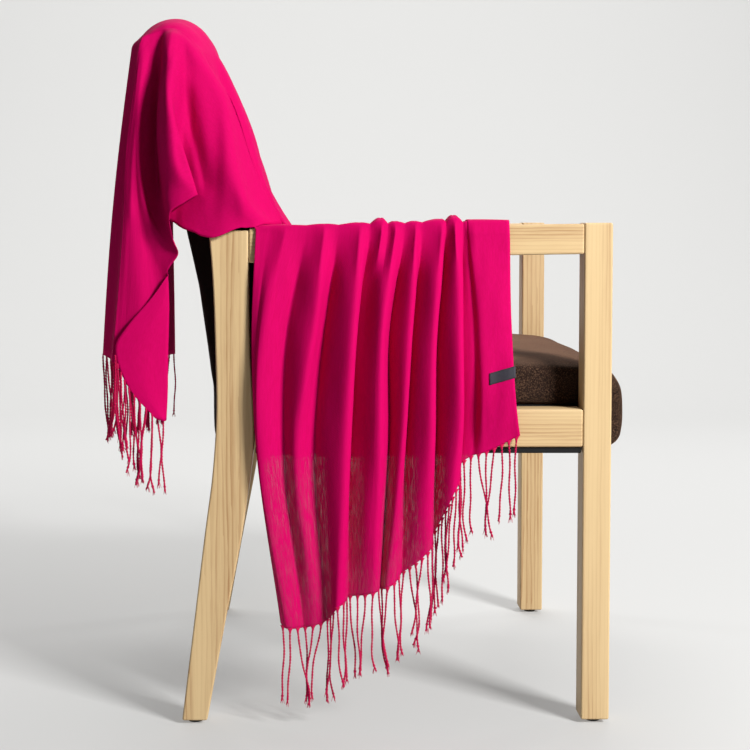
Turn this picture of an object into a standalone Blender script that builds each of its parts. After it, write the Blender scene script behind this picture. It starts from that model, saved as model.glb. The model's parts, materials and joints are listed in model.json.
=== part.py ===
"""A fringed scarf draped over the arm and the back of an upholstered wooden armchair.

All sizes below are in millimetres. In the working frame x runs from the chair's back to its
front, y from the near arm to the far one and z up from the floor; y is 0 at the near arm's outer
face. The empty "draped_chair" then carries everything so that the middle of the part's
footprint is the origin.
"""
import math
from collections import namedtuple

import bmesh
import bpy
import numpy as np
from mathutils import Matrix, Vector

MM = 0.001

# Chair
CHAIR_WIDTH = 573.0
GAP = 0.35
LEG_DEPTH = 38.0
FRONT_LEG_BACK, FRONT_LEG_FRONT, FRONT_LEG_TOP = 374.0, 411.0, 660.5
REAR_LEG_TOP = 651.0
GLIDE_HEIGHT, GLIDE_RADIUS, GLIDE_SIDES = 4.7, 9.5, 16
LEG_FOOT = GLIDE_HEIGHT + GAP
ARM_BACK, ARM_FRONT = -63.0, FRONT_LEG_BACK - GAP
ARM_TOP_BACK, ARM_TOP_SLOPE = 653.8, 0.0125
RAIL_LOW, RAIL_HIGH, RAIL_BACK = 367.0, 416.5, -55.5
WOOD_EDGE = 2.5
DUST_COVER_THICKNESS = 8.0
SEAT_BACK, SEAT_FRONT, SEAT_CROWN = -14.5, 441.0, 482.0
SEAT_FRONT_HANG = 357.0
SEAT_EDGE, SEAT_NOSE = 440.0, 430.0
BACK_CROWN, BACK_SHOULDER = 943.0, 800.0
BACK_CROWN_X, BACK_THINNING = -164.0, 0.16

# Cloth and fringe
CLOTH = 1.2
SEAM = 0.4
FALL_TOP = 648.0
INNER_END = 600.0
STRAND_SPACING, STRAND_LENGTH, STRAND_THICKNESS = 13.2, 104.0, 2.6
STRAND_ROOT, STRAND_CLEAR, HEM_MARGIN = 4.0, 7.0, 2.5
STRIP_HEIGHT, STRIP_THICKNESS, STRIP_GAP = 2.5, 1.6, 0.9
LABEL_THICKNESS, LABEL_LIFT = 0.7, 1.5

# Side edges of a rear leg at each height: it leans back below and above the seat.
LegSection = namedtuple("LegSection", "z back front")
REAR_LEG = [
    LegSection(LEG_FOOT, -152, -119),
    LegSection(114, -138.5, -99),
    LegSection(271, -119, -69.5),
    LegSection(323, -112, -62),
    LegSection(369, -108, -57),
    LegSection(402, -106, -57),
    LegSection(500, -107, -62),
    LegSection(594, -110.5, -63.5),
    LegSection(REAR_LEG_TOP, -115, -63.5),
]

# The arm rail's underside, from the rear leg to the front leg.
ARM_UNDERSIDE = [(ARM_BACK, 608.0), (100.0, 615.5), (ARM_FRONT, 619.7)]

# Side profiles of the two cushions, as (x, z), run once round.
SEAT_TOP_PROFILE = [
    (SEAT_BACK, 417.0), (SEAT_BACK, 460.0), (-2, 474), (60, SEAT_CROWN - 2), (200, SEAT_CROWN),
    (340, SEAT_CROWN - 1), (385, 478), (410, 474), (426, 466), (436, 453), (440, 438),
]
SEAT_FRONT_PROFILE = [
    (SEAT_FRONT, 420), (440, 388), (435, 368), (425, 359), (411.6, SEAT_FRONT_HANG), (411.6, 417.0),
]
BACK_PROFILE = [
    (-111, 367), (-114, 430), (-121.5, 496), (-132, 575), (-148.7, 652), (-174, 765),
    (-196, 858), (-203, 890), (-200, 914), (-188, 932), (-166, BACK_CROWN), (-147, 934),
    (-134, 914), (-125, 885), (-98, 800), (-66, 705), (-38, 610), (-22, 530), (-15, 480),
    (-15, 421), (-97, 421), (-99, 367),
]
# How the cushions round off towards their sides: distance from the side, then how far the
# outline is drawn in there.
SideRounding = namedtuple("SideRounding", "inward drawn_in")
CUSHION_SIDES = [
    SideRounding(0, 13), SideRounding(5, 8.5), SideRounding(18, 6), SideRounding(70, 2),
]
BACK_CORNERS = [
    SideRounding(0, 44), SideRounding(20, 31), SideRounding(60, 18), SideRounding(130, 7),
]

# The gathers outside the arm, from the near-back selvage to the label's selvage: the place of
# each ridge or valley at the arm, at z 520 and at z 388, its end on the hem, how far it stands
# out from the wood and how far it rises over the arm.
Gather = namedtuple("Gather", "top mid low hem_x hem_z out lift")
GATHERS = [
    Gather(-54, -59, -55, -22, 138, 8, 0),
    Gather(-38, -51, -51, -18, 133, 5, 0),
    Gather(-16, -36, -46, -11, 131, 15, 1),
    Gather(8, -9, -17, 8, 131, 4, 0),
    Gather(35, 19, 9, 25, 135, 14, 2),
    Gather(53, 43, 36, 39, 141, 4, 0),
    Gather(82, 71, 60, 52, 162, 20, 3),
    Gather(95, 83, 74, 66, 171, 5, 1),
    Gather(108, 92, 84, 78, 174, 8, 8),
    Gather(117, 100, 94, 88, 176, 5, 1),
    Gather(127, 110, 105, 98, 179, 13, 4),
    Gather(140, 130, 122, 108, 182, 5, 1),
    Gather(154, 147, 139, 118, 186, 17, 4),
    Gather(170, 162, 156, 136, 202, 4, 2),
    Gather(187, 179, 174, 166, 229, 18, 6),
    Gather(196, 194, 192, 178, 254, 4, 3),
    Gather(202, 207, 208, 203, 311, 24, 11),
    Gather(213, 216, 216, 215, 344, 6, 1),
    Gather(223, 225, 226, 226, 357, 12, 6),
    Gather(248, 252, 259, 256, 364, 14, 5),
    Gather(275, 278, 289, 290, 384, 9, 4),
]
MID_HEIGHT, LOW_HEIGHT = 520.0, 388.0
# How much of the way over the arm the first gathers go before the cloth turns to the back, and
# where on that way the arm's outer corner comes.
TURN_REACH = [0.12, 0.50]
ARM_CORNER = 0.15

# The drape round the back's near end, from the arm to the rear: each line leaves the crest of
# the cloth, passes a middle point and ends on the selvage, or low down on the turned fold.
DrapeLine = namedtuple("DrapeLine", "crest middle edge roll")
NEAR_DRAPE = [
    DrapeLine((-19, 43, 658), (-39, 16, 658.5), (-56, -3.8, 655), 0),
    DrapeLine((-48, 40, 712), (-56, 6, 682), (-65, -4, 654), 0),
    DrapeLine((-64, 38, 756), (-68, -6, 700), (-74, -6, 654), 1),
    DrapeLine((-76, 36, 795), (-78, -10, 718), (-83, -8, 651), 2),
    DrapeLine((-89, 33, 827), (-91, -12, 735), (-96, -9, 645), 3),
    DrapeLine((-104, 31, 849), (-104, -8, 748), (-109, -8, 641), 4),
    DrapeLine((-117, 29, 870), (-118, -2, 761), (-123, -5, 643), 5),
    DrapeLine((-129, 26, 889), (-130, 3, 779), (-134, -3, 648), 6),
    DrapeLine((-139, 24, 901), (-140, 1, 794), (-149, 2, 653), 7),
    DrapeLine((-145, 22, 906), (-148, -6, 807), (-161, 8, 661), 7),
    DrapeLine((-151, 21, 910), (-154, -18, 814), (-171, 7, 668), 7),
    DrapeLine((-157, 20, 912), (-154, -30, 823), (-127, -36, 695), 7),
    DrapeLine((-163, 19, 913), (-162, -36, 824), (-143, -42, 686), 7),
    DrapeLine((-170, 18, 913), (-174, -26, 792), (-162, -36, 671), 7),
    DrapeLine((-178, 18, 911), (-183, 14, 736), (-159, -24, 638), 6),
    DrapeLine((-190, 15, 906), (-195, 6, 709), (-153, -18, 620), 5),
    DrapeLine((-203, 10, 895), (-203, -6, 722), (-168, -8, 596), 4),
    DrapeLine((-210, 2, 841), (-206, -5, 690), (-167, -3, 559), 3),
    DrapeLine((-221, -2, 751), (-203, -7, 630), (-168, 0, 520), 2),
    DrapeLine((-225, -3, 663), (-203, -8, 562), (-169, 2, 490), 2),
    DrapeLine((-232, -2, 572), (-206, -5, 496), (-170, 4, 440), 1),
    DrapeLine((-241, 0, 480), (-206, 1, 438), (-172, 5, 403), 0),
]
FRONT_CREST_LINES = slice(0, 8)
TOP_CREST_LINES = slice(7, 17)
REAR_CREST_LINES = slice(16, 22)

# The rear end's corner, folded forward from the turned fold: one row for each of the last six
# drape lines, from the selvage's turn down to the fold's foot.
FlapLine = namedtuple("FlapLine", "middle edge")
CORNER_FLAP = [
    FlapLine((-166.5, -11, 593), (-169, -15, 590)),
    FlapLine((-174, -16, 560), (-188, -20, 564)),
    FlapLine((-192, -22, 522), (-222, -24, 524)),
    FlapLine((-200, -22, 492), (-236, -24, 494)),
    FlapLine((-188, -17, 441), (-208, -22, 447)),
    FlapLine((-172.5, -3, 402), (-178, -8, 405)),
]
FLAP_CORNER_LINE = 3
DRAPE_SHARES = (0.0, 0.25, 0.55, 1.0)
FLAP_SHARES = (0.0, 0.45, 1.0)
FOLD_TURN = (0.8, -1.7, 0.0)

# The front stretch: lines from the arm's inner side to the back's front top edge. "share" is
# the line's place across the stretch, 0 at the drape's crest and 1 at the far selvage.
FrontLine = namedtuple("FrontLine", "share points")
FRONT_LINES = [
    FrontLine(0.05, [(-17, 42, 657), (-50, 48, 715), (-77, 50, 782), (-98, 54, 831), (-117, 57, 884)]),
    FrontLine(0.14, [(-15, 41, 656), (-43, 58, 715), (-68, 71, 793), (-94, 79, 856), (-116, 88, 897)]),
    FrontLine(0.32, [(4, 41, 656), (-22, 84, 622), (-50, 125, 742), (-89, 150, 836), (-119, 178, 904)]),
    FrontLine(0.60, [(100, 41, 657), (50, 130, 598), (-18, 215, 622), (-67, 262, 768), (-119, 310, 906)]),
    FrontLine(1.00, [(275, 41, 659), (205, 150, 585), (57, 370, 588), (-54, 480, 716), (-118, 506, 882)]),
]

# Over the back's top: across it, where the front edge, crest and rear edge of the cloth lie.
TopLine = namedtuple("TopLine", "share crest_z")
TOP_LINES = [
    TopLine(0.0, 913), TopLine(0.05, 922), TopLine(0.10, 929), TopLine(0.16, 934),
    TopLine(0.22, 939), TopLine(0.32, 946), TopLine(0.50, 953), TopLine(0.68, 952),
    TopLine(0.85, 942), TopLine(1.0, 925),
]

# The rear fall: its folds from the turned fold to the far selvage.
RearFold = namedtuple("RearFold", "share y top_x top_z hem_x hem_z bulge")
REAR_FOLDS = [
    RearFold(0.05, 26, -208, 894, -247, 481, 0),
    RearFold(0.11, 50, -219, 892, -260, 485, -5),
    RearFold(0.20, 92, -217, 897, -250, 478, -1),
    RearFold(0.28, 140, -224, 902, -258, 470, -6),
    RearFold(0.38, 192, -216, 905, -243, 462, -2),
    RearFold(0.48, 244, -223, 907, -251, 456, -6),
    RearFold(0.59, 300, -215, 906, -236, 452, -2),
    RearFold(0.70, 354, -221, 903, -243, 449, -6),
    RearFold(0.81, 408, -212, 897, -226, 447, -2),
    RearFold(0.91, 456, -217, 889, -229, 445, -4),
    RearFold(1.00, 500, -209, 874, -208, 444, -2),
]

# The label near the hem, on the far selvage: its corners on the panel.
LABEL_BACK_END, LABEL_FRONT_END = 248.0, 281.5
LABEL_BACK_HEIGHT, LABEL_FRONT_HEIGHT, LABEL_WIDTH = 458.5, 468.5, 15.0
LABEL_COLUMNS = 5

COLUMNS_PER_LINE = 2
FALL_ROWS = 10
OVER_ARM_ROWS = 10
DRAPE_ROWS = 8
FLAP_ROWS = 5
WIDE_COLUMNS = 18
CREST_REACH, CREST_CROWDING = 6, 1.15

Finish = namedtuple("Finish", "name colour roughness")
PINE = Finish("oiled_pine", (0.80, 0.60, 0.34), 0.50)
SUEDE = Finish("brown_suede", (0.085, 0.045, 0.028), 0.90)
BACK_SUEDE = Finish("dark_suede", (0.022, 0.011, 0.008), 0.90)
DUST_CLOTH = Finish("black_dust_cloth", (0.008, 0.008, 0.008), 0.95)
GLIDE_PLASTIC = Finish("black_plastic", (0.012, 0.012, 0.012), 0.45)
SCARF_CLOTH = Finish("raspberry_twill", (0.80, 0.0, 0.10), 0.85)
LABEL_TAPE = Finish("charcoal_woven_tape", (0.030, 0.028, 0.034), 0.80)


# Curves and surfaces through a few given points

def smooth(places, values, at):
    """Values at the places asked for, on a smooth curve through the values given."""
    places = np.asarray(places, dtype=float)
    values = np.asarray(values, dtype=float)
    at = np.atleast_1d(np.asarray(at, dtype=float))
    steps = np.diff(places)
    widen = (...,) + (None,) * (values.ndim - 1)
    slopes = np.diff(values, axis=0) / steps[widen]
    tangents = np.empty_like(values)
    tangents[0], tangents[-1] = slopes[0], slopes[-1]
    before, after = steps[:-1][widen], steps[1:][widen]
    tangents[1:-1] = (slopes[:-1] * after + slopes[1:] * before) / (before + after)
    index = np.clip(np.searchsorted(places, at, side="right") - 1, 0, len(places) - 2)
    step = steps[index][widen]
    t = ((at - places[index]) / steps[index])[widen]
    return ((2 * t**3 - 3 * t**2 + 1) * values[index]
            + (t**3 - 2 * t**2 + t) * step * tangents[index]
            + (-2 * t**3 + 3 * t**2) * values[index + 1]
            + (t**3 - t**2) * step * tangents[index + 1])


def fine(lines, per_line):
    """The given lines with per_line - 1 further ones in each interval."""
    count = len(lines)
    return smooth(range(count), lines, np.linspace(0, count - 1, (count - 1) * per_line + 1))


def trimmed(grid, first=0.0, last=0.0, near=0.0, far=0.0):
    """The grid with its first or last row, or its near or far column, drawn in by a few tenths."""
    grid = grid.copy()

    def draw_in(edge, inner, amount):
        if amount:
            run = inner - edge
            edge += run / np.linalg.norm(run, axis=-1, keepdims=True) * amount

    draw_in(grid[0], grid[1], first)
    draw_in(grid[-1], grid[-2], last)
    draw_in(grid[:, 0], grid[:, 1], near)
    draw_in(grid[:, -1], grid[:, -2], far)
    return grid


# Objects

def collection(name):
    made = bpy.data.collections.new(name)
    bpy.context.scene.collection.children.link(made)
    return made


def material(finish):
    found = bpy.data.materials.get(finish.name)
    if found:
        return found
    made = bpy.data.materials.new(finish.name)
    made.use_nodes = True
    shader = made.node_tree.nodes["Principled BSDF"]
    shader.inputs["Base Color"].default_value = (*finish.colour, 1.0)
    shader.inputs["Roughness"].default_value = finish.roughness
    shader.inputs["Metallic"].default_value = 0.0
    return made


def add_object(name, bm, finish, place=(0, 0, 0)):
    """Puts a bmesh, in millimetres, into the scene as an object at its place."""
    bmesh.ops.transform(bm, matrix=Matrix.Scale(MM, 4), verts=bm.verts)
    mesh = bpy.data.meshes.new(name)
    bm.to_mesh(mesh)
    bm.free()
    made = bpy.data.objects.new(name, mesh)
    made.location = Vector(place) * MM
    mesh.materials.append(material(finish))
    PART.objects.link(made)
    made.parent = CARRIER
    return made


def round_edges(made, width):
    bevel = made.modifiers.new("edges", "BEVEL")
    bevel.width = width * MM
    bevel.segments = 1
    bevel.limit_method = "ANGLE"
    bevel.angle_limit = math.radians(40)


def box(name, low, high, finish, edge=WOOD_EDGE):
    low, high = Vector(low), Vector(high)
    bm = bmesh.new()
    bmesh.ops.create_cube(bm, size=1.0)
    bmesh.ops.scale(bm, vec=high - low, verts=bm.verts)
    made = add_object(name, bm, finish, (low + high) / 2)
    round_edges(made, edge)
    return made


def plate(name, outline, y_low, y_high, finish):
    """A board cut to an outline in x and z, standing between two values of y."""
    curve = bpy.data.curves.new(name, "CURVE")
    curve.dimensions = "2D"
    curve.fill_mode = "BOTH"
    curve.extrude = (y_high - y_low) / 2 * MM
    line = curve.splines.new("POLY")
    line.points.add(len(outline) - 1)
    for point, (x, z) in zip(line.points, outline):
        point.co = (x * MM, z * MM, 0, 1)
    line.use_cyclic_u = True
    guide = bpy.data.objects.new(name + "_outline", curve)
    PART.objects.link(guide)
    evaluated = guide.evaluated_get(bpy.context.evaluated_depsgraph_get())
    mesh = bpy.data.meshes.new_from_object(evaluated)
    bpy.data.objects.remove(guide)
    bm = bmesh.new()
    bm.from_mesh(mesh)
    bpy.data.meshes.remove(mesh)
    bmesh.ops.remove_doubles(bm, verts=bm.verts, dist=1e-6)
    bmesh.ops.recalc_face_normals(bm, faces=bm.faces)
    bmesh.ops.transform(bm, matrix=Matrix.Scale(1 / MM, 4), verts=bm.verts)
    made = add_object(name, bm, finish, (0, (y_low + y_high) / 2, 0))
    made.rotation_euler = (math.radians(90), 0, 0)
    round_edges(made, WOOD_EDGE)
    return made


def loft(name, rings, finish):
    """A closed solid through rings of points, with its two ends filled."""
    bm = bmesh.new()
    rows = [[bm.verts.new(point) for point in ring] for ring in rings]
    for row, after in zip(rows, rows[1:]):
        for k in range(len(row)):
            bm.faces.new((row[k - 1], row[k], after[k], after[k - 1]))
    for ring in (rows[0], rows[-1]):
        bm.faces.new(ring)
    bmesh.ops.recalc_face_normals(bm, faces=bm.faces)
    made = add_object(name, bm, finish)
    made.data.shade_smooth()
    return made


def sheet(name, grid, finish=SCARF_CLOTH, thickness=CLOTH):
    """A wall of cloth round a grid of points."""
    rows, columns = grid.shape[:2]
    bm = bmesh.new()
    bmesh.ops.create_grid(bm, x_segments=columns - 1, y_segments=rows - 1, size=1.0)
    bm.verts.ensure_lookup_table()
    for vert, point in zip(bm.verts, grid.reshape(-1, 3)):
        vert.co = point
    made = add_object(name, bm, finish)
    made.data.shade_smooth()
    wall = made.modifiers.new("wall", "SOLIDIFY")
    wall.thickness = thickness * MM
    wall.offset = 0.0
    return made


# Chair

def arm_top(x):
    return ARM_TOP_BACK + ARM_TOP_SLOPE * (x - ARM_BACK)


def wooden_side(side, y_low):
    """One side of the chair: its two legs, arm rail, seat rail and glides."""
    y_high = y_low + LEG_DEPTH
    heights = [section.z for section in REAR_LEG]
    stations = np.linspace(heights[0], heights[-1], 14)
    backs = smooth(heights, [section.back for section in REAR_LEG], stations)
    fronts = smooth(heights, [section.front for section in REAR_LEG], stations)
    outline = list(zip(fronts, stations)) + list(zip(backs, stations))[::-1]
    plate(f"leg_rear_{side}", outline, y_low, y_high, PINE)
    box(f"leg_front_{side}", (FRONT_LEG_BACK, y_low, LEG_FOOT),
        (FRONT_LEG_FRONT, y_high, FRONT_LEG_TOP), PINE)
    arm = ARM_UNDERSIDE + [(ARM_FRONT, arm_top(ARM_FRONT)), (ARM_BACK, arm_top(ARM_BACK))]
    plate(f"arm_{side}", arm, y_low, y_high, PINE)
    box(f"seat_rail_{side}", (RAIL_BACK, y_low, RAIL_LOW),
        (FRONT_LEG_BACK - GAP, y_high, RAIL_HIGH), PINE)
    foot = REAR_LEG[0]
    for end, x in (("rear", (foot.back + foot.front) / 2),
                   ("front", (FRONT_LEG_BACK + FRONT_LEG_FRONT) / 2)):
        bm = bmesh.new()
        bmesh.ops.create_cone(bm, cap_ends=True, segments=GLIDE_SIDES, radius1=GLIDE_RADIUS,
                              radius2=GLIDE_RADIUS, depth=GLIDE_HEIGHT)
        add_object(f"glide_{end}_{side}", bm, GLIDE_PLASTIC,
                   (x, y_low + LEG_DEPTH / 2, GLIDE_HEIGHT / 2))


def seat_frame():
    inner_low, inner_high = LEG_DEPTH + GAP, CHAIR_WIDTH - LEG_DEPTH - GAP
    box("seat_rail_front", (376.0, inner_low, RAIL_LOW), (409.0, inner_high, RAIL_HIGH), PINE)
    box("seat_rail_rear", (-96.0, inner_low, RAIL_LOW), (-66.0, inner_high, RAIL_HIGH), PINE)
    box("seat_board", (-65.0, inner_low, RAIL_HIGH - 18.0),
        (375.0, inner_high, RAIL_HIGH), DUST_CLOTH, edge=1.0)
    box("dust_cover", (-55.0, 4.0, RAIL_LOW - GAP - DUST_COVER_THICKNESS),
        (372.0, CHAIR_WIDTH - 4.0, RAIL_LOW - GAP), DUST_CLOTH, edge=1.0)


def side_stations(sides, y_low, y_high):
    """Places across a cushion, each with how far its outline is drawn in there."""
    near = [(y_low + side.inward, side.drawn_in) for side in sides]
    far = [(y_high - side.inward, side.drawn_in) for side in reversed(sides)]
    return near + [((y_low + y_high) / 2, 0.0)] + far


def seat_cushion():
    profile = SEAT_TOP_PROFILE + SEAT_FRONT_PROFILE
    rings = []
    for y, drawn_in in side_stations(CUSHION_SIDES, LEG_DEPTH + 0.6, CHAIR_WIDTH - LEG_DEPTH - 0.6):
        ring = []
        for x, z in profile:
            lower = drawn_in if z > SEAT_EDGE else 0.0
            back = drawn_in / 4 if x > SEAT_NOSE else 0.0
            ring.append((x - back, y, z - lower))
        rings.append(ring)
    loft("seat_cushion", rings, SUEDE)


def back_cushion():
    """The upholstered back: its top corners round off and its faces draw in at the sides."""
    y_low, y_high = LEG_DEPTH + 3.0, CHAIR_WIDTH - LEG_DEPTH - 3.0
    rings = []
    for y, drop in side_stations(BACK_CORNERS, y_low, y_high):
        squeeze = 1.0 - BACK_THINNING * drop / BACK_CORNERS[0].drawn_in
        scale = (BACK_CROWN - drop - BACK_SHOULDER) / (BACK_CROWN - BACK_SHOULDER)
        ring = []
        for x, z in BACK_PROFILE:
            above = max(0.0, z - BACK_SHOULDER)
            height = min(z, BACK_SHOULDER) + above * scale
            middle = BACK_CROWN_X if z > BACK_SHOULDER else x
            ring.append((middle + (x - middle) * squeeze, y, height))
        rings.append(ring)
    loft("back_cushion", rings, BACK_SUEDE)


# Scarf: the stretch over the arm

def fall_lines(shares):
    """The gathers' lines below the arm, as [share of the drop from hem to arm][gather]."""
    lines = []
    for gather in GATHERS:
        heights = gather.hem_z + (FALL_TOP - gather.hem_z) * np.asarray(shares)
        places = [gather.hem_z, LOW_HEIGHT, MID_HEIGHT, FALL_TOP]
        x = smooth(places, [gather.hem_x, gather.low, gather.mid, gather.top], heights)
        stand = [gather.out * 0.9, gather.out, gather.out, 1.5 + 0.45 * gather.out]
        y = -smooth(places, stand, heights)
        lines.append(np.stack([x, y, heights], axis=-1))
    return np.array(lines)


def arm_fall_grid(rows=FALL_ROWS, per_line=COLUMNS_PER_LINE):
    lines = fine(fall_lines(np.linspace(0, 1, rows + 1)), per_line)
    return lines.transpose(1, 0, 2)


def over_arm_grid(rows=OVER_ARM_ROWS, per_line=COLUMNS_PER_LINE):
    """From the fall's top over the arm to its inner corner; the first gathers turn to the back."""
    lines = []
    for number, gather in enumerate(GATHERS):
        top = arm_top(gather.top)
        path = np.array([
            (gather.top, -1.5 - 0.45 * gather.out, FALL_TOP),
            (gather.top, -1.5 - 0.25 * gather.lift - 0.08 * gather.out, top + 1.1 + 0.5 * gather.lift),
            (gather.top, 10.0, top + 1.5 + gather.lift),
            (gather.top, 31.0, top + 1.5 + 0.8 * gather.lift),
            (gather.top, 40.4, top + 0.5),
        ])
        reach = TURN_REACH[number] if number < len(TURN_REACH) else 1.0
        stations = np.append(0.0, np.linspace(min(ARM_CORNER, reach / 2), reach, rows))
        lines.append(smooth([0.0, ARM_CORNER, 0.4, 0.8, 1.0], path, stations))
    grid = fine(np.array(lines), per_line).transpose(1, 0, 2)
    turned = len(TURN_REACH) * per_line + 1
    away = drape_line(NEAR_DRAPE[0], np.linspace(1, 0, turned)) - grid[-1, :turned]
    grid[:, :turned] += away * np.linspace(0, 1, rows + 1)[:, None, None] ** 2
    return grid


# Scarf: the drape round the back

def drape_line(line, shares):
    """Points along one line of the drape, from the crest to its edge."""
    crest, middle, edge = (np.array(point, dtype=float) for point in line[:3])
    shoulder = crest + DRAPE_SHARES[1] * (middle - crest) + np.array((0, -line.roll, line.roll))
    return smooth(DRAPE_SHARES, [crest, shoulder, middle, edge], shares)


def drape_grid(rows=DRAPE_ROWS, per_line=COLUMNS_PER_LINE):
    lines = [drape_line(line, np.linspace(0, 1, rows + 1)) for line in NEAR_DRAPE]
    return fine(np.array(lines), per_line).transpose(1, 0, 2)


def crest(lines, per_line=COLUMNS_PER_LINE):
    """The drape's crest along some of its lines."""
    return fine(np.array([line.crest for line in NEAR_DRAPE]), per_line)[
        lines.start * per_line:(lines.stop - 1) * per_line + 1]


def flap_grid(rows=FLAP_ROWS, per_line=COLUMNS_PER_LINE):
    lines = []
    for drape, flap in zip(NEAR_DRAPE[REAR_CREST_LINES], CORNER_FLAP):
        start = np.array(drape.edge, dtype=float) + FOLD_TURN
        lines.append(smooth(FLAP_SHARES, [start, flap.middle, flap.edge],
                            np.linspace(0, 1, rows + 1)))
    return fine(np.array(lines), per_line).transpose(1, 0, 2)


def wide_shares(columns=WIDE_COLUMNS):
    """Places across the wide stretches, closer together near the drape's crest."""
    return np.linspace(0, 1, columns + 1) ** CREST_CROWDING


def settle_on(grid, edge, reach):
    """Moves a grid's first column onto an edge, and its neighbours part of the way."""
    away = edge - grid[:, 0]
    for column in range(reach):
        grid[:, column] += away * (1 - column / reach)
    return grid


def front_grid(columns=WIDE_COLUMNS, per_line=COLUMNS_PER_LINE):
    """From the arm's inner corner, over the seat, to the back's front top edge."""
    side = crest(FRONT_CREST_LINES, per_line)
    rows = len(side) - 1
    along = np.linspace(0, 1, rows + 1)
    lines = [smooth(np.linspace(0, 1, rows + 1), side, along)]
    for line in FRONT_LINES:
        lines.append(smooth(np.linspace(0, 1, len(line.points)), line.points, along))
    places = [0.0] + [line.share for line in FRONT_LINES]
    shares = wide_shares(columns)
    grid = smooth(places, np.array(lines), shares).transpose(1, 0, 2)
    corner = over_arm_grid()[-1, len(TURN_REACH) * COLUMNS_PER_LINE:]
    x = np.clip(grid[0, :, 0], corner[0, 0], corner[-1, 0])
    on_arm = np.stack([x, np.interp(x, corner[:, 0], corner[:, 1]),
                       np.interp(x, corner[:, 0], corner[:, 2])], axis=-1)
    ease = (1 - along)[:, None, None] ** 3
    grid += ease * (on_arm - grid[0])[None]
    grid[:, 0] = side
    return grid


def rear_grid(rows=None, columns=WIDE_COLUMNS, per_line=COLUMNS_PER_LINE):
    """The rear fall, from the back's rear top edge to the hem."""
    side = crest(REAR_CREST_LINES, per_line)
    rows = rows or len(side) - 1
    along = np.linspace(0, 1, rows + 1)
    lines = [smooth(np.linspace(0, 1, len(side)), side, along)]
    for fold in REAR_FOLDS:
        x = fold.top_x + (fold.hem_x - fold.top_x) * along + fold.bulge * np.sin(np.pi * along)
        z = fold.top_z + (fold.hem_z - fold.top_z) * along
        lines.append(np.stack([x, np.full_like(x, fold.y), z], axis=-1))
    places = [0.0] + [fold.share for fold in REAR_FOLDS]
    return smooth(places, np.array(lines), wide_shares(columns)).transpose(1, 0, 2)


def top_grid(columns=WIDE_COLUMNS, per_line=COLUMNS_PER_LINE):
    """Over the back's top, between the front stretch and the rear fall."""
    side = crest(TOP_CREST_LINES, per_line)
    front, rear = front_grid(columns)[-1], rear_grid(columns=columns)[0]
    crests = smooth([line.share for line in TOP_LINES], [line.crest_z for line in TOP_LINES],
                    wide_shares(columns))
    along = np.linspace(0, 1, len(side))
    rise = np.sin(np.pi * along) ** 2
    grid = np.empty((len(side), columns + 1, 3))
    for column in range(columns + 1):
        sweep = (1 - np.cos(np.pi * along)) / 2
        run = front[column] + (rear[column] - front[column]) * sweep[:, None]
        run[:, 2] += rise * (crests[column] - (front[column, 2] + rear[column, 2]) / 2)
        grid[:, column] = run
    return settle_on(grid, side, CREST_REACH)


# Scarf: fringe and label

def strand_roots(hem):
    """Points along a hem, about one strand apart, that keep the hem's own but draw in its ends."""
    hem = hem.copy()
    for end, inner in ((0, 1), (-1, -2)):
        run = hem[inner] - hem[end]
        hem[end] += run / np.linalg.norm(run) * HEM_MARGIN
    points = []
    for start, end in zip(hem, hem[1:]):
        cells = max(1, round(float(np.linalg.norm(end - start)) / STRAND_SPACING))
        points += [start + (end - start) * step / cells for step in range(cells)]
    return np.array(points + [hem[-1]])


def fringe(name, hem, sway):
    """A narrow strip under a hem, whose underside is drawn down into hanging strands."""
    stations = strand_roots(hem)
    run = np.gradient(stations, axis=0)
    run /= np.linalg.norm(run, axis=1, keepdims=True)
    across = np.stack([-run[:, 1], run[:, 0], np.zeros(len(run))], axis=-1)
    across /= np.linalg.norm(across, axis=1, keepdims=True)
    down = np.cross(across, run)
    bm = bmesh.new()
    rings = []
    for point, side, fall in zip(stations, across, down):
        high = point + fall * STRIP_GAP
        low = high + fall * STRIP_HEIGHT
        out = side * STRIP_THICKNESS / 2
        rings.append([bm.verts.new(corner) for corner in (high - out, high + out, low + out, low - out)])
    bottoms = []
    for near, far in zip(rings, rings[1:]):
        faces = [bm.faces.new((near[k - 1], near[k], far[k], far[k - 1])) for k in range(4)]
        bottoms.append((faces[3], near, far))
    bm.faces.new(rings[0])
    bm.faces.new(rings[-1])
    bmesh.ops.recalc_face_normals(bm, faces=bm.faces)
    last = None
    for number, (face, near, far) in enumerate(bottoms):
        middle = face.calc_center_median()
        if last is None or math.dist(middle.xy, last.xy) >= STRAND_CLEAR:
            draw_strand(bm, face, near, far, number, sway)
            last = middle
    return add_object(name, bm, SCARF_CLOTH)


def draw_strand(bm, face, near, far, number, sway):
    """Draws the strip's bottom face between two of its rings down into a tapering strand."""
    across = (near[2].co - near[3].co + far[2].co - far[3].co).normalized()
    along = Vector((across.y, -across.x, 0))
    corner = {near[2]: across - along, near[3]: -across - along,
              far[3]: along - across, far[2]: along + across}
    corners = [corner[vert] for vert in face.verts]
    middle = face.calc_center_median()
    start = min(vert.co.z for vert in face.verts)
    lean = math.sin(number * 2.4) * sway
    length = STRAND_LENGTH * (1 - 0.05 * math.sin(number * 1.7))
    for drop, wide in ((STRAND_ROOT, 1.0), (length, 0.8)):
        face = bmesh.ops.extrude_discrete_faces(bm, faces=[face])["faces"][0]
        bend = lean * (drop / length) ** 2
        centre = Vector((middle.x + bend, middle.y - 0.4 * bend, start - drop))
        for vert, away in zip(face.verts, corners):
            vert.co = centre + away * STRAND_THICKNESS / 2 * wide


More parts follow.
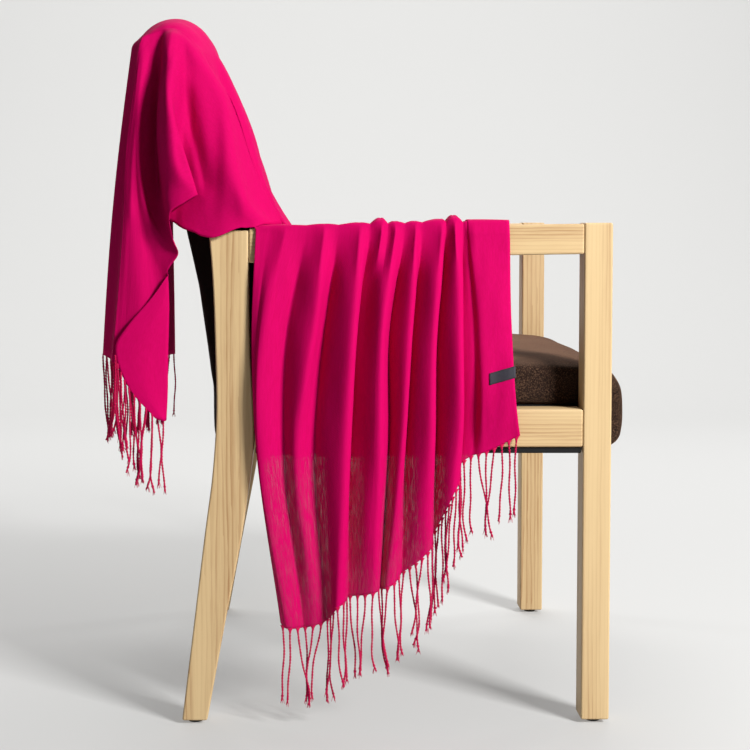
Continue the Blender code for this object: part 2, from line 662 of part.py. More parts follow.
def label():
    """The woven label: a strip of the panel's own points, moved out."""
    shares = np.linspace(0, 1, LABEL_COLUMNS + 1)
    grid = arm_fall_grid(rows=80, per_line=12)
    rows = []
    for edge in (0.5, -0.5):
        row = []
        for share in shares:
            x = LABEL_BACK_END + (LABEL_FRONT_END - LABEL_BACK_END) * share
            z = LABEL_BACK_HEIGHT + (LABEL_FRONT_HEIGHT - LABEL_BACK_HEIGHT) * share
            z += edge * LABEL_WIDTH
            near = np.argmin((grid[..., 0] - x) ** 2 + (grid[..., 2] - z) ** 2)
            y = grid.reshape(-1, 3)[near, 1]
            row.append((x, y - LABEL_LIFT, z))
        rows.append(row)
    sheet("label", np.array(rows), LABEL_TAPE, LABEL_THICKNESS)


def scarf():
    fall = arm_fall_grid()
    sheet("scarf_arm_fall", trimmed(fall, last=SEAM))
    sheet("scarf_over_arm", over_arm_grid())
    front = front_grid()
    sheet("scarf_front", trimmed(front, first=SEAM * 4))
    drape = drape_grid()
    sheet("scarf_near_drape", trimmed(drape, first=SEAM * 3, near=SEAM * 3))
    sheet("scarf_corner_flap", flap_grid())
    top = top_grid()
    sheet("scarf_back_top", trimmed(top, first=SEAM))
    rear = rear_grid()
    sheet("scarf_rear_fall", trimmed(rear, first=SEAM, near=SEAM * 2))
    label()
    fringe("fringe_arm_end", fall[0], 1.2)
    flap = flap_grid()[-1][FLAP_CORNER_LINE * COLUMNS_PER_LINE:]
    fringe("fringe_corner", flap, 1.5)
    fringe("fringe_fold", drape[:, -1], 1.5)
    fringe("fringe_rear", rear[-1], 2.0)


def stand_on_origin():
    """Moves the whole part so that the middle of its footprint is the origin."""
    state = bpy.context.evaluated_depsgraph_get()
    corners = [piece.matrix_world @ Vector(corner)
               for piece in (made.evaluated_get(state) for made in CARRIER.children)
               for corner in piece.bound_box]
    low = [min(corner[axis] for corner in corners) for axis in range(3)]
    high = [max(corner[axis] for corner in corners) for axis in range(3)]
    CARRIER.location = (-(low[0] + high[0]) / 2, -(low[1] + high[1]) / 2, -low[2])


def main():
    wooden_side("near", 0.0)
    wooden_side("far", CHAIR_WIDTH - LEG_DEPTH)
    seat_frame()
    seat_cushion()
    back_cushion()
    scarf()
    stand_on_origin()


for old in list(bpy.data.objects):
    bpy.data.objects.remove(old)
PART = collection("draped_chair")
CARRIER = bpy.data.objects.new("draped_chair", None)
PART.objects.link(CARRIER)
main()
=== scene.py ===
"""Looks of a fringed raspberry scarf that is draped over a pine armchair.

Sizes below are in millimetres, in the CAD's working frame: x runs from the chair's back to its
front, y from the near arm to the far one and z up from the floor, with y = 0 at the near arm's
outer face. One function, placed, turns them into the scene's metres.
"""

import json
import logging
import math
from dataclasses import dataclass, field
from enum import Enum
from typing import Any, NamedTuple, Sequence

import bmesh
import bpy
import numpy as np
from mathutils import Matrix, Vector

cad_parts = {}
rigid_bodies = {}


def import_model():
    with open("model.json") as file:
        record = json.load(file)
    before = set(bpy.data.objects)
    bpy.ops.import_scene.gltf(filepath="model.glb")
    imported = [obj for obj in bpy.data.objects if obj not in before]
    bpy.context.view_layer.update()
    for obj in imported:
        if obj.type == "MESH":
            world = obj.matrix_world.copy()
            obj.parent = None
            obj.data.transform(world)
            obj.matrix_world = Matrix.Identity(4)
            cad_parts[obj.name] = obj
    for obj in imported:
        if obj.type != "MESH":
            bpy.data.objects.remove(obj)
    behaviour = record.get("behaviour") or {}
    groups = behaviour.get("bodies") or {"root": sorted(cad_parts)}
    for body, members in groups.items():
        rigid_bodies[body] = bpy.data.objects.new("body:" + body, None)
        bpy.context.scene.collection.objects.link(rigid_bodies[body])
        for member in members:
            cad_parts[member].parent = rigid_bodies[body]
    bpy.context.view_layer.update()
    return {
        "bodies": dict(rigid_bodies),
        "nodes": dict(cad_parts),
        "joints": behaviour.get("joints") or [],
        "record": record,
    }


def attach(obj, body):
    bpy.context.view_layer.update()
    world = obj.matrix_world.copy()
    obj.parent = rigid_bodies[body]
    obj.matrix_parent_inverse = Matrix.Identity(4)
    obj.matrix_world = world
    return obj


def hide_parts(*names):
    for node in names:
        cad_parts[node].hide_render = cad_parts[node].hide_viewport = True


LOG = logging.getLogger("draped_chair")

MM = 0.001
FRAME_ORIGIN = np.array((-90.099, -265.001, 0.0))
BODY = "root"

# The near arm's top, which the wood and the cloth on it share: where the arm starts at the
# back, how high its top is there and how much it rises for each millimetre towards the front.
ARM_BACK = -63.0
ARM_TOP = 653.8
ARM_SLOPE = 0.0125

# The flat panel in metres: its width, the part of the width that turns round the back's near
# end, how far along it the arm, the back's front edge, its rear edge and the cut end come, the
# length behind the arm's stretch, and the folded corner's width and start.
PANEL_WIDTH = 0.70
DRAPE_WIDTH = 0.20
ARM_LENGTH = 0.45
FRONT_LENGTH = 1.05
TOP_LENGTH = 1.18
PANEL_LENGTH = 1.6
FLAP_WIDTH = 0.06
FLAP_START = 1.2

# A wave texture of scale 1 repeats after this many metres.
WAVE_REPEAT = 0.314

Points = np.ndarray
Pair = tuple[float, float]
Triple = tuple[float, float, float]
Socket = bpy.types.NodeSocket


# ---------------------------------------------------------------- curves and meshes

def placed(points: Points) -> Points:
    """Turns millimetres of the working frame into metres of the scene."""
    return (np.asarray(points, dtype=float) + FRAME_ORIGIN) * MM


def smooth(places: Sequence[float], values: Any, at: Any) -> Points:
    """Reads a smooth curve through given values.

    Args:
        places: Where the values stand, in rising order.
        values: The values there, numbers or points.
        at: The places to read.

    Returns:
        The values at those places.
    """
    places = np.asarray(places, dtype=float)
    values = np.asarray(values, dtype=float)
    at = np.atleast_1d(np.asarray(at, dtype=float))
    steps = np.diff(places)
    widen = (...,) + (None,) * (values.ndim - 1)
    slopes = np.diff(values, axis=0) / steps[widen]
    tangents = np.empty_like(values)
    tangents[0], tangents[-1] = slopes[0], slopes[-1]
    before, after = steps[:-1][widen], steps[1:][widen]
    tangents[1:-1] = (slopes[:-1] * after + slopes[1:] * before) / (before + after)
    index = np.clip(np.searchsorted(places, at, side="right") - 1, 0, len(places) - 2)
    step = steps[index][widen]
    t = ((at - places[index]) / steps[index])[widen]
    return ((2 * t**3 - 3 * t**2 + 1) * values[index]
            + (t**3 - 2 * t**2 + t) * step * tangents[index]
            + (-2 * t**3 + 3 * t**2) * values[index + 1]
            + (t**3 - t**2) * step * tangents[index + 1])


def fine(lines: Any, per_line: int) -> Points:
    """Adds per_line - 1 smooth lines in each interval between the given ones."""
    count = len(lines)
    return smooth(range(count), lines, np.linspace(0, count - 1, (count - 1) * per_line + 1))


def eased(value: Any) -> Points:
    """Turns a share from 0 to 1 into one that starts and ends gently."""
    share = np.clip(value, 0.0, 1.0)
    return share * share * (3 - 2 * share)


def arm_height(x: Any) -> Any:
    """The height of the near arm's top at x."""
    return ARM_TOP + ARM_SLOPE * (x - ARM_BACK)


def new_object(name: str, mesh: bpy.types.Mesh) -> bpy.types.Object:
    """Links a mesh into the scene as an object that rides on the chair's body.

    Args:
        name: The object's name.
        mesh: Its mesh.

    Returns:
        The object.
    """
    made = bpy.data.objects.new(name, mesh)
    bpy.context.scene.collection.objects.link(made)
    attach(made, BODY)
    return made


def prism(name: str, near: Points, far: Points) -> bpy.types.Mesh:
    """Joins an outline and its copy at the other end into a closed prism.

    Args:
        name: The mesh's name.
        near: The outline's corners at one end, in scene metres.
        far: The same corners at the other end.

    Returns:
        The mesh.
    """
    count = len(near)
    mesh = bpy.data.meshes.new(name)
    sides = [(k, (k + 1) % count, (k + 1) % count + count, k + count) for k in range(count)]
    mesh.from_pydata([tuple(point) for point in (*near, *far)], [],
                     [tuple(range(count))[::-1], tuple(range(count, 2 * count)), *sides])
    turned = bmesh.new()
    turned.from_mesh(mesh)
    bmesh.ops.recalc_face_normals(turned, faces=turned.faces)
    turned.to_mesh(mesh)
    turned.free()
    return mesh


class ClothMesh:
    """Gathers grids of points into one sheet, welded along the edges that they share."""

    weld_gap: float = 0.02

    def __init__(self) -> None:
        """Starts with no cloth."""
        self.points: list[Points] = []
        self.uvs: list[Points] = []
        self.sheer: list[Points] = []
        self.faces: list[Points] = []
        self.count = 0

    def add(self, grid: Points, across: Points, along: Points, sheer: Points | float = 0.0) -> None:
        """Adds one grid.

        Args:
            grid: Its points in millimetres, as [row][column].
            across: Each point's place across the panel, in metres.
            along: Each point's place along the panel, in metres.
            sheer: How far the weave opens at each point, from 0 to 1.
        """
        rows, columns = grid.shape[:2]
        self.points.append(placed(grid).reshape(-1, 3))
        shape = (rows, columns)
        self.uvs.append(np.stack([np.broadcast_to(across, shape), np.broadcast_to(along, shape)],
                                 axis=-1).reshape(-1, 2))
        self.sheer.append(np.broadcast_to(sheer, shape).reshape(-1).astype(float))
        number = np.arange(rows * columns).reshape(shape) + self.count
        self.faces.append(np.stack([number[:-1, :-1], number[:-1, 1:], number[1:, 1:],
                                    number[1:, :-1]], axis=-1).reshape(-1, 4))
        self.count += rows * columns

    def build(self, name: str, thickness: float) -> bpy.types.Object:
        """Makes the object.

        Args:
            name: The piece's name.
            thickness: The cloth's thickness in millimetres.

        Returns:
            The piece, with UVs in metres of the flat panel and a "sheer" attribute.
        """
        points, faces = np.concatenate(self.points), np.concatenate(self.faces)
        uvs = np.concatenate(self.uvs)
        mesh = bpy.data.meshes.new(name)
        mesh.from_pydata(points.tolist(), [], faces.tolist())
        layer = mesh.uv_layers.new(name="panel")
        layer.data.foreach_set("uv", uvs[faces.reshape(-1)].astype(np.float32).reshape(-1))
        sheer = mesh.attributes.new("sheer", "FLOAT", "POINT")
        sheer.data.foreach_set("value", np.concatenate(self.sheer).astype(np.float32))
        weld = bmesh.new()
        weld.from_mesh(mesh)
        bmesh.ops.remove_doubles(weld, verts=weld.verts, dist=self.weld_gap * MM)
        bmesh.ops.recalc_face_normals(weld, faces=weld.faces)
        weld.to_mesh(mesh)
        weld.free()
        mesh.shade_smooth()
        made = new_object(name, mesh)
        wall = made.modifiers.new("wall", "SOLIDIFY")
        wall.thickness = thickness * MM
        wall.offset = 0.0
        return made


class TubeMesh:
    """Gathers tubes into one mesh."""

    def __init__(self) -> None:
        """Starts with no tubes."""
        self.points: list[Points] = []
        self.faces: list[tuple[int, ...]] = []
        self.count = 0

    def add(self, path: Points, radius: Points, sides: int, width: Points | None = None,
            wide: Points | None = None) -> None:
        """Adds a tube with closed ends.

        Args:
            path: The points it follows, in millimetres.
            radius: Its radius at each point.
            sides: How many sides it has.
            width: Its half width along wide at each point, where it isn't round.
            wide: The direction of that width.
        """
        run = np.gradient(path, axis=0)
        run /= np.linalg.norm(run, axis=1, keepdims=True)
        aim = np.array((0.0, 1.0, 0.0)) if wide is None else np.cross(wide, (0.0, 0.0, 1.0))
        side = np.cross(run, aim)
        side /= np.linalg.norm(side, axis=1, keepdims=True)
        other = np.cross(run, side)
        turn = np.linspace(0, 2 * math.pi, sides, endpoint=False)
        half = radius if width is None else width
        rings = (path[:, None] + half[:, None, None] * np.cos(turn)[None, :, None] * side[:, None]
                 + radius[:, None, None] * np.sin(turn)[None, :, None] * other[:, None])
        self.points.append(placed(rings.reshape(-1, 3)))
        first = self.count
        for ring in range(len(path) - 1):
            low = first + ring * sides
            for k in range(sides):
                after = (k + 1) % sides
                self.faces.append((low + k, low + after, low + sides + after, low + sides + k))
        last = first + (len(path) - 1) * sides
        self.faces.append(tuple(range(first, first + sides))[::-1])
        self.faces.append(tuple(range(last, last + sides)))
        self.count += len(path) * sides

    def build(self, name: str) -> bpy.types.Object:
        """Makes the tubes one object.

        Args:
            name: The piece's name.

        Returns:
            The piece.
        """
        mesh = bpy.data.meshes.new(name)
        mesh.from_pydata(np.concatenate(self.points).tolist(), [], self.faces)
        mesh.shade_smooth()
        return new_object(name, mesh)


# ---------------------------------------------------------------- finishes

def linear(colour: str) -> tuple[float, float, float, float]:
    """Turns an sRGB hex colour into linear light.

    Args:
        colour: The colour, as "#RRGGBB".

    Returns:
        Red, green, blue and 1 for alpha.
    """
    shares = (int(colour[place:place + 2], 16) / 255 for place in (1, 3, 5))
    return (*(s / 12.92 if s <= 0.04045 else ((s + 0.055) / 1.055) ** 2.4 for s in shares), 1.0)


def add_node(tree: bpy.types.NodeTree, kind: str, settings: dict[str, Any] | None = None,
             inputs: dict[Any, Any] | None = None) -> bpy.types.Node:
    """Adds a node to a material.

    Args:
        tree: The material's node tree.
        kind: The node's type.
        settings: Its own settings by name.
        inputs: A value, or a socket to link from, for each input by name or number.

    Returns:
        The node.
    """
    node = tree.nodes.new(kind)
    for name, value in (settings or {}).items():
        setattr(node, name, value)
    for name, value in (inputs or {}).items():
        if isinstance(value, Socket):
            tree.links.new(value, node.inputs[name])
        else:
            node.inputs[name].default_value = value
    return node


def wave_scale(spacing: float) -> float:
    """The wave texture's scale for lines that are so many millimetres apart."""
    return WAVE_REPEAT / (spacing * MM)


def new_material(name: str) -> tuple[bpy.types.Material, bpy.types.NodeTree, bpy.types.Node]:
    """Starts a material.

    Args:
        name: The material's name.

    Returns:
        The material, its tree and the tree's output node, which is its only one.
    """
    made = bpy.data.materials.new(name)
    made.use_nodes = True
    made.node_tree.nodes.clear()
    return made, made.node_tree, add_node(made.node_tree, "ShaderNodeOutputMaterial")


class Grain(Enum):
    """The way that the fibres of a wooden member run."""

    UPRIGHT = "Z"
    LENGTHWISE = "X"
    CROSSWISE = "Y"


@dataclass(frozen=True)
class OiledPine:
    """Planed and sanded pine under a thin satin oil.

    Growth rings 3 to 5 mm apart run along each member as soft darker lines, with fine fibres
    between them, small knots here and there, and the oil gives a low even shine. The scales
    count repeats in a metre: fibres are 1.6 mm wide, clouds 29 mm and knots 110 mm apart.
    """

    light: str = "#C6AC81"
    ring: str = "#98744D"
    knot: str = "#7E4E28"
    ring_spacing: float = 4.6
    fibre_scale: float = 620.0
    cloud_scale: float = 34.0
    knot_scale: float = 9.0
    pith: Triple = (0.071, 0.113, -0.052)
    knot_place: Triple = (0.31, 0.17, 0.055)
    ring_stretch: float = 0.035
    knot_stretch: float = 0.42
    satin: Pair = (0.42, 0.56)

    def material(self, grain: Grain) -> bpy.types.Material:
        """Makes the finish.

        Args:
            grain: The way that the fibres run.

        Returns:
            The material.
        """
        made, tree, output = new_material(f"oiled_pine_{grain.name.lower()}")
        axis = "XYZ".index(grain.value)
        place = add_node(tree, "ShaderNodeTexCoord").outputs["Object"]
        stretch = [1.0, 1.0, 1.0]
        stretch[axis] = self.ring_stretch
        drawn = add_node(tree, "ShaderNodeMapping", inputs={
            "Vector": place, "Location": self.pith, "Scale": stretch}).outputs["Vector"]
        rings = add_node(tree, "ShaderNodeTexWave", {
            "wave_type": "RINGS", "rings_direction": grain.value, "wave_profile": "SAW"}, {
            "Vector": drawn, "Scale": wave_scale(self.ring_spacing), "Distortion": 9.0,
            "Detail": 4.0, "Detail Scale": 0.8, "Detail Roughness": 0.65})
        fibre = add_node(tree, "ShaderNodeTexNoise", inputs={
            "Vector": drawn, "Scale": self.fibre_scale, "Detail": 3.0, "Roughness": 0.6})
        cloud = add_node(tree, "ShaderNodeTexNoise", inputs={
            "Vector": drawn, "Scale": self.cloud_scale, "Detail": 2.0, "Roughness": 0.5})
        late = add_node(tree, "ShaderNodeMapRange", {"interpolation_type": "SMOOTHSTEP"}, {
            "Value": rings.outputs["Fac"], "From Min": 0.42, "From Max": 1.0,
            "To Min": 0.0, "To Max": 0.6}).outputs["Result"]
        blend = add_node(tree, "ShaderNodeMath", {"operation": "MULTIPLY_ADD"}, {
            0: fibre.outputs["Fac"], 1: 0.9, 2: late}).outputs["Value"]
        patch = add_node(tree, "ShaderNodeMapRange", inputs={
            "Value": cloud.outputs["Fac"], "From Min": 0.35, "From Max": 0.65, "To Min": 0.15,
            "To Max": 0.85}).outputs["Result"]
        blend = add_node(tree, "ShaderNodeMath", {"operation": "MULTIPLY", "use_clamp": True}, {
            0: blend, 1: patch}).outputs["Value"]
        wood = add_node(tree, "ShaderNodeMix", {"data_type": "RGBA"}, {
            0: blend, 6: linear(self.light), 7: linear(self.ring)}).outputs[2]
        spread = [1.0, 1.0, 1.0]
        spread[axis] = self.knot_stretch
        knots = add_node(tree, "ShaderNodeMapping", inputs={
            "Vector": place, "Location": self.knot_place, "Scale": spread}).outputs["Vector"]
        cell = add_node(tree, "ShaderNodeTexVoronoi", inputs={
            "Vector": knots, "Scale": self.knot_scale})
        eye = add_node(tree, "ShaderNodeMapRange", {"interpolation_type": "SMOOTHSTEP"}, {
            "Value": cell.outputs["Distance"], "From Min": 0.035, "From Max": 0.085,
            "To Min": 0.75, "To Max": 0.0}).outputs["Result"]
        wood = add_node(tree, "ShaderNodeMix", {"data_type": "RGBA"}, {
            0: eye, 6: wood, 7: linear(self.knot)}).outputs[2]
        bump = add_node(tree, "ShaderNodeBump", inputs={
            "Strength": 0.16, "Distance": 0.15 * MM, "Height": blend}).outputs["Normal"]
        rough = add_node(tree, "ShaderNodeMapRange", inputs={
            "Value": blend, "To Min": self.satin[0], "To Max": self.satin[1]}).outputs["Result"]
        shader = add_node(tree, "ShaderNodeBsdfPrincipled", inputs={
            "Base Color": wood, "Roughness": rough, "Normal": bump, "IOR": 1.45,
            "Specular IOR Level": 0.35})
        tree.links.new(shader.outputs["BSDF"], output.inputs["Surface"])
        return made


@dataclass(frozen=True)
class BrushedSuede:
    """Knitted microfibre, brushed to a short nap.

    The nap lies every way, so the colour is broken into light and dark specks, hands leave
    wide strokes in it, 22 of them to a metre, and it turns paler where it is seen along its
    surface. speck is a speck's size in millimetres.
    """

    name: str
    dark: str
    light: str
    speck: float
    sheen: float
    stroke_scale: float = 22.0

    def material(self) -> bpy.types.Material:
        """Makes the finish.

        Returns:
            The material.
        """
        made, tree, output = new_material(self.name)
        place = add_node(tree, "ShaderNodeTexCoord").outputs["Object"]
        specks = add_node(tree, "ShaderNodeTexNoise", inputs={
            "Vector": place, "Scale": 1.0 / (self.speck * MM), "Detail": 3.0, "Roughness": 0.75})
        strokes = add_node(tree, "ShaderNodeTexNoise", inputs={
            "Vector": place, "Scale": self.stroke_scale, "Detail": 3.0, "Distortion": 0.6})
        share = add_node(tree, "ShaderNodeMapRange", {"interpolation_type": "SMOOTHSTEP"}, {
            "Value": specks.outputs["Fac"], "From Min": 0.46, "From Max": 0.74}).outputs["Result"]
        share = add_node(tree, "ShaderNodeMath", {"operation": "MULTIPLY", "use_clamp": True}, {
            0: share, 1: strokes.outputs["Fac"]}).outputs["Value"]
        colour = add_node(tree, "ShaderNodeMix", {"data_type": "RGBA"}, {
            0: share, 6: linear(self.dark), 7: linear(self.light)}).outputs[2]
        bump = add_node(tree, "ShaderNodeBump", inputs={
            "Strength": 0.5, "Distance": 0.5 * MM, "Height": specks.outputs["Fac"]})
        shader = add_node(tree, "ShaderNodeBsdfPrincipled", inputs={
            "Base Color": colour, "Roughness": 0.92, "Normal": bump.outputs["Normal"],
            "Specular IOR Level": 0.15, "Sheen Weight": self.sheen, "Sheen Roughness": 0.45,
            "Sheen Tint": linear(self.light)})
        tree.links.new(shader.outputs["BSDF"], output.inputs["Surface"])
        return made


@dataclass(frozen=True)
class RaspberryTwill:
    """Fine piece-dyed twill with a soft raised nap.

    Light passes a little through the single layer. Where the folds hang free the weave opens,
    and gaps between the threads' slubs show what lies behind as pale upright streaks. The real
    threads are 0.4 mm apart, too fine to show, so the twill line is drawn at 1.3 mm and the
    slubs 1.3 mm wide, which is 760 to a metre. Ripples of 22 mm, 46 to a metre, are the cloth's
    own unevenness.
    """

    name: str = "raspberry_twill"
    colour: str = "#C0005C"
    deep: str = "#A80044"
    nap: str = "#FF2A8C"
    twill_line: float = 1.3
    slub_scale: float = 760.0
    slub_stretch: float = 0.07
    ripple_scale: float = 46.0
    ripple_stretch: float = 0.16
    through: float = 0.05
    gaps: Pair = (0.03, 0.24)

    def material(self) -> bpy.types.Material:
        """Makes the finish.

        Returns:
            The material.
        """
        made, tree, output = new_material(self.name)
        flat = add_node(tree, "ShaderNodeUVMap", {"uv_map": "panel"}).outputs["UV"]
        open_weave = add_node(tree, "ShaderNodeAttribute", {
            "attribute_name": "sheer"}).outputs["Fac"]
        twill = add_node(tree, "ShaderNodeTexWave", {"bands_direction": "DIAGONAL"}, {
            "Vector": flat, "Scale": wave_scale(self.twill_line), "Distortion": 0.4,
            "Detail": 1.0, "Detail Scale": 1.0})
        threads = add_node(tree, "ShaderNodeMapping", inputs={
            "Vector": flat, "Scale": (1.0, self.slub_stretch, 1.0)}).outputs["Vector"]
        slub = add_node(tree, "ShaderNodeTexNoise", inputs={
            "Vector": threads, "Scale": self.slub_scale, "Detail": 2.0, "Roughness": 0.7,
            "Distortion": 0.5})
        drawn = add_node(tree, "ShaderNodeMapping", inputs={
            "Vector": flat, "Scale": (1.0, self.ripple_stretch, 1.0)}).outputs["Vector"]
        ripple = add_node(tree, "ShaderNodeTexNoise", inputs={
            "Vector": drawn, "Scale": self.ripple_scale, "Detail": 2.0, "Roughness": 0.5})
        colour = add_node(tree, "ShaderNodeMix", {"data_type": "RGBA"}, {
            0: slub.outputs["Fac"], 6: linear(self.colour), 7: linear(self.deep)}).outputs[2]
        ripples = add_node(tree, "ShaderNodeBump", inputs={
            "Strength": 0.35, "Distance": 2.0 * MM, "Height": ripple.outputs["Fac"]})
        bump = add_node(tree, "ShaderNodeBump", inputs={
            "Strength": 0.25, "Distance": 0.25 * MM, "Height": twill.outputs["Fac"],
            "Normal": ripples.outputs["Normal"]}).outputs["Normal"]
        shader = add_node(tree, "ShaderNodeBsdfPrincipled", inputs={
            "Base Color": colour, "Roughness": 0.82, "Normal": bump, "Specular IOR Level": 0.05,
            "Sheen Weight": 0.05, "Sheen Roughness": 0.5, "Sheen Tint": linear(self.nap)})
        glow = add_node(tree, "ShaderNodeBsdfTranslucent", inputs={
            "Color": colour, "Normal": bump})
        cloth = add_node(tree, "ShaderNodeMixShader", inputs={
            0: self.through, 1: shader.outputs["BSDF"], 2: glow.outputs["BSDF"]}).outputs["Shader"]
        gap = add_node(tree, "ShaderNodeMapRange", {"interpolation_type": "SMOOTHSTEP"}, {
            "Value": slub.outputs["Fac"], "From Min": 0.44, "From Max": 0.60,
            "To Min": self.gaps[0], "To Max": self.gaps[1]}).outputs["Result"]
        gap = add_node(tree, "ShaderNodeMath", {"operation": "MULTIPLY", "use_clamp": True}, {
            0: gap, 1: open_weave}).outputs["Value"]
        clear = add_node(tree, "ShaderNodeBsdfTransparent")
        cloth = add_node(tree, "ShaderNodeMixShader", inputs={
            0: gap, 1: cloth, 2: clear.outputs["BSDF"]}).outputs["Shader"]
        tree.links.new(cloth, output.inputs["Surface"])
        return made


@dataclass(frozen=True)
class TwistedYarn:
    """The panel's own warp, twisted into cords: dyed yarn with a soft broken surface.

    Its fluff is drawn 1.1 mm wide, which is 900 to a metre.
    """

    name: str = "twisted_raspberry_yarn"
    light: str = "#C8034E"
    dark: str = "#8C0030"
    fluff_scale: float = 900.0

    def material(self) -> bpy.types.Material:
        """Makes the finish.

        Returns:
            The material.
        """
        made, tree, output = new_material(self.name)
        place = add_node(tree, "ShaderNodeTexCoord").outputs["Object"]
        fluff = add_node(tree, "ShaderNodeTexNoise", inputs={
            "Vector": place, "Scale": self.fluff_scale, "Detail": 2.0, "Roughness": 0.7})
        colour = add_node(tree, "ShaderNodeMix", {"data_type": "RGBA"}, {
            0: fluff.outputs["Fac"], 6: linear(self.light), 7: linear(self.dark)}).outputs[2]
        bump = add_node(tree, "ShaderNodeBump", inputs={
            "Strength": 0.5, "Distance": 0.2 * MM, "Height": fluff.outputs["Fac"]})
        shader = add_node(tree, "ShaderNodeBsdfPrincipled", inputs={
            "Base Color": colour, "Roughness": 0.85, "Normal": bump.outputs["Normal"],
            "Specular IOR Level": 0.1, "Sheen Weight": 0.1})
        tree.links.new(shader.outputs["BSDF"], output.inputs["Surface"])
        return made


@dataclass(frozen=True)
class WovenTape:
    """Charcoal label tape, woven with a fine rib and left bare.

    Real ribs are about 0.5 mm apart and are drawn at 1 mm, so that they show.
    """

    name: str = "charcoal_woven_tape"
    light: str = "#33303A"
    dark: str = "#1B191F"
    rib: float = 1.0

    def material(self) -> bpy.types.Material:
        """Makes the finish.

        Returns:
            The material.
        """
        made, tree, output = new_material(self.name)
        flat = add_node(tree, "ShaderNodeUVMap", {"uv_map": "panel"}).outputs["UV"]
        rib = add_node(tree, "ShaderNodeTexWave", {"bands_direction": "Y"}, {
            "Vector": flat, "Scale": wave_scale(self.rib), "Distortion": 0.5})
        colour = add_node(tree, "ShaderNodeMix", {"data_type": "RGBA"}, {
            0: rib.outputs["Fac"], 6: linear(self.dark), 7: linear(self.light)}).outputs[2]
        bump = add_node(tree, "ShaderNodeBump", inputs={
            "Strength": 0.4, "Distance": 0.2 * MM, "Height": rib.outputs["Fac"]})
        shader = add_node(tree, "ShaderNodeBsdfPrincipled", inputs={
            "Base Color": colour, "Roughness": 0.6, "Normal": bump.outputs["Normal"],
            "Specular IOR Level": 0.3})
        tree.links.new(shader.outputs["BSDF"], output.inputs["Surface"])
        return made


@dataclass(frozen=True)
class SpunBlack:
    """Black polypropylene: spun and pressed as dust cloth, or moulded as a glide.

    Pressing or the mould leaves a grit on it, whose size is in millimetres.
    """

    name: str
    colour: str
    roughness: float
    grit: float
    pits: str = "#070707"

    def material(self) -> bpy.types.Material:
        """Makes the finish.

        Returns:
            The material.
        """
        made, tree, output = new_material(self.name)
        place = add_node(tree, "ShaderNodeTexCoord").outputs["Object"]
        grit = add_node(tree, "ShaderNodeTexVoronoi", inputs={
            "Vector": place, "Scale": 1.0 / (self.grit * MM)})
        tone = add_node(tree, "ShaderNodeMix", {"data_type": "RGBA"}, {
            0: grit.outputs["Distance"], 6: linear(self.colour),
            7: linear(self.pits)}).outputs[2]
        bump = add_node(tree, "ShaderNodeBump", inputs={
            "Strength": 0.3, "Distance": 0.2 * MM, "Height": grit.outputs["Distance"]})
        shader = add_node(tree, "ShaderNodeBsdfPrincipled", inputs={
            "Base Color": tone, "Roughness": self.roughness, "IOR": 1.49,
            "Normal": bump.outputs["Normal"], "Specular IOR Level": 0.3})
        tree.links.new(shader.outputs["BSDF"], output.inputs["Surface"])
        return made


SEAT_SUEDE = BrushedSuede("brown_suede", "#140B07", "#8C6850", 1.3, 0.9)
BACK_SUEDE = BrushedSuede("dark_suede", "#150B09", "#33211B", 0.9, 0.15)
DUST_CLOTH = SpunBlack("black_dust_cloth", "#1A1A1A", 0.9, 1.2)
GLIDE_PLASTIC = SpunBlack("black_glide_plastic", "#161616", 0.45, 0.6)


# ---------------------------------------------------------------- chair

# The oiled pine for each way that a member's fibres run, which main makes.
WOOD: dict[Grain, bpy.types.Material] = {}


class Station(NamedTuple):
    """Side edges of a rear leg at one height."""

    z: float
    back: float
    front: float


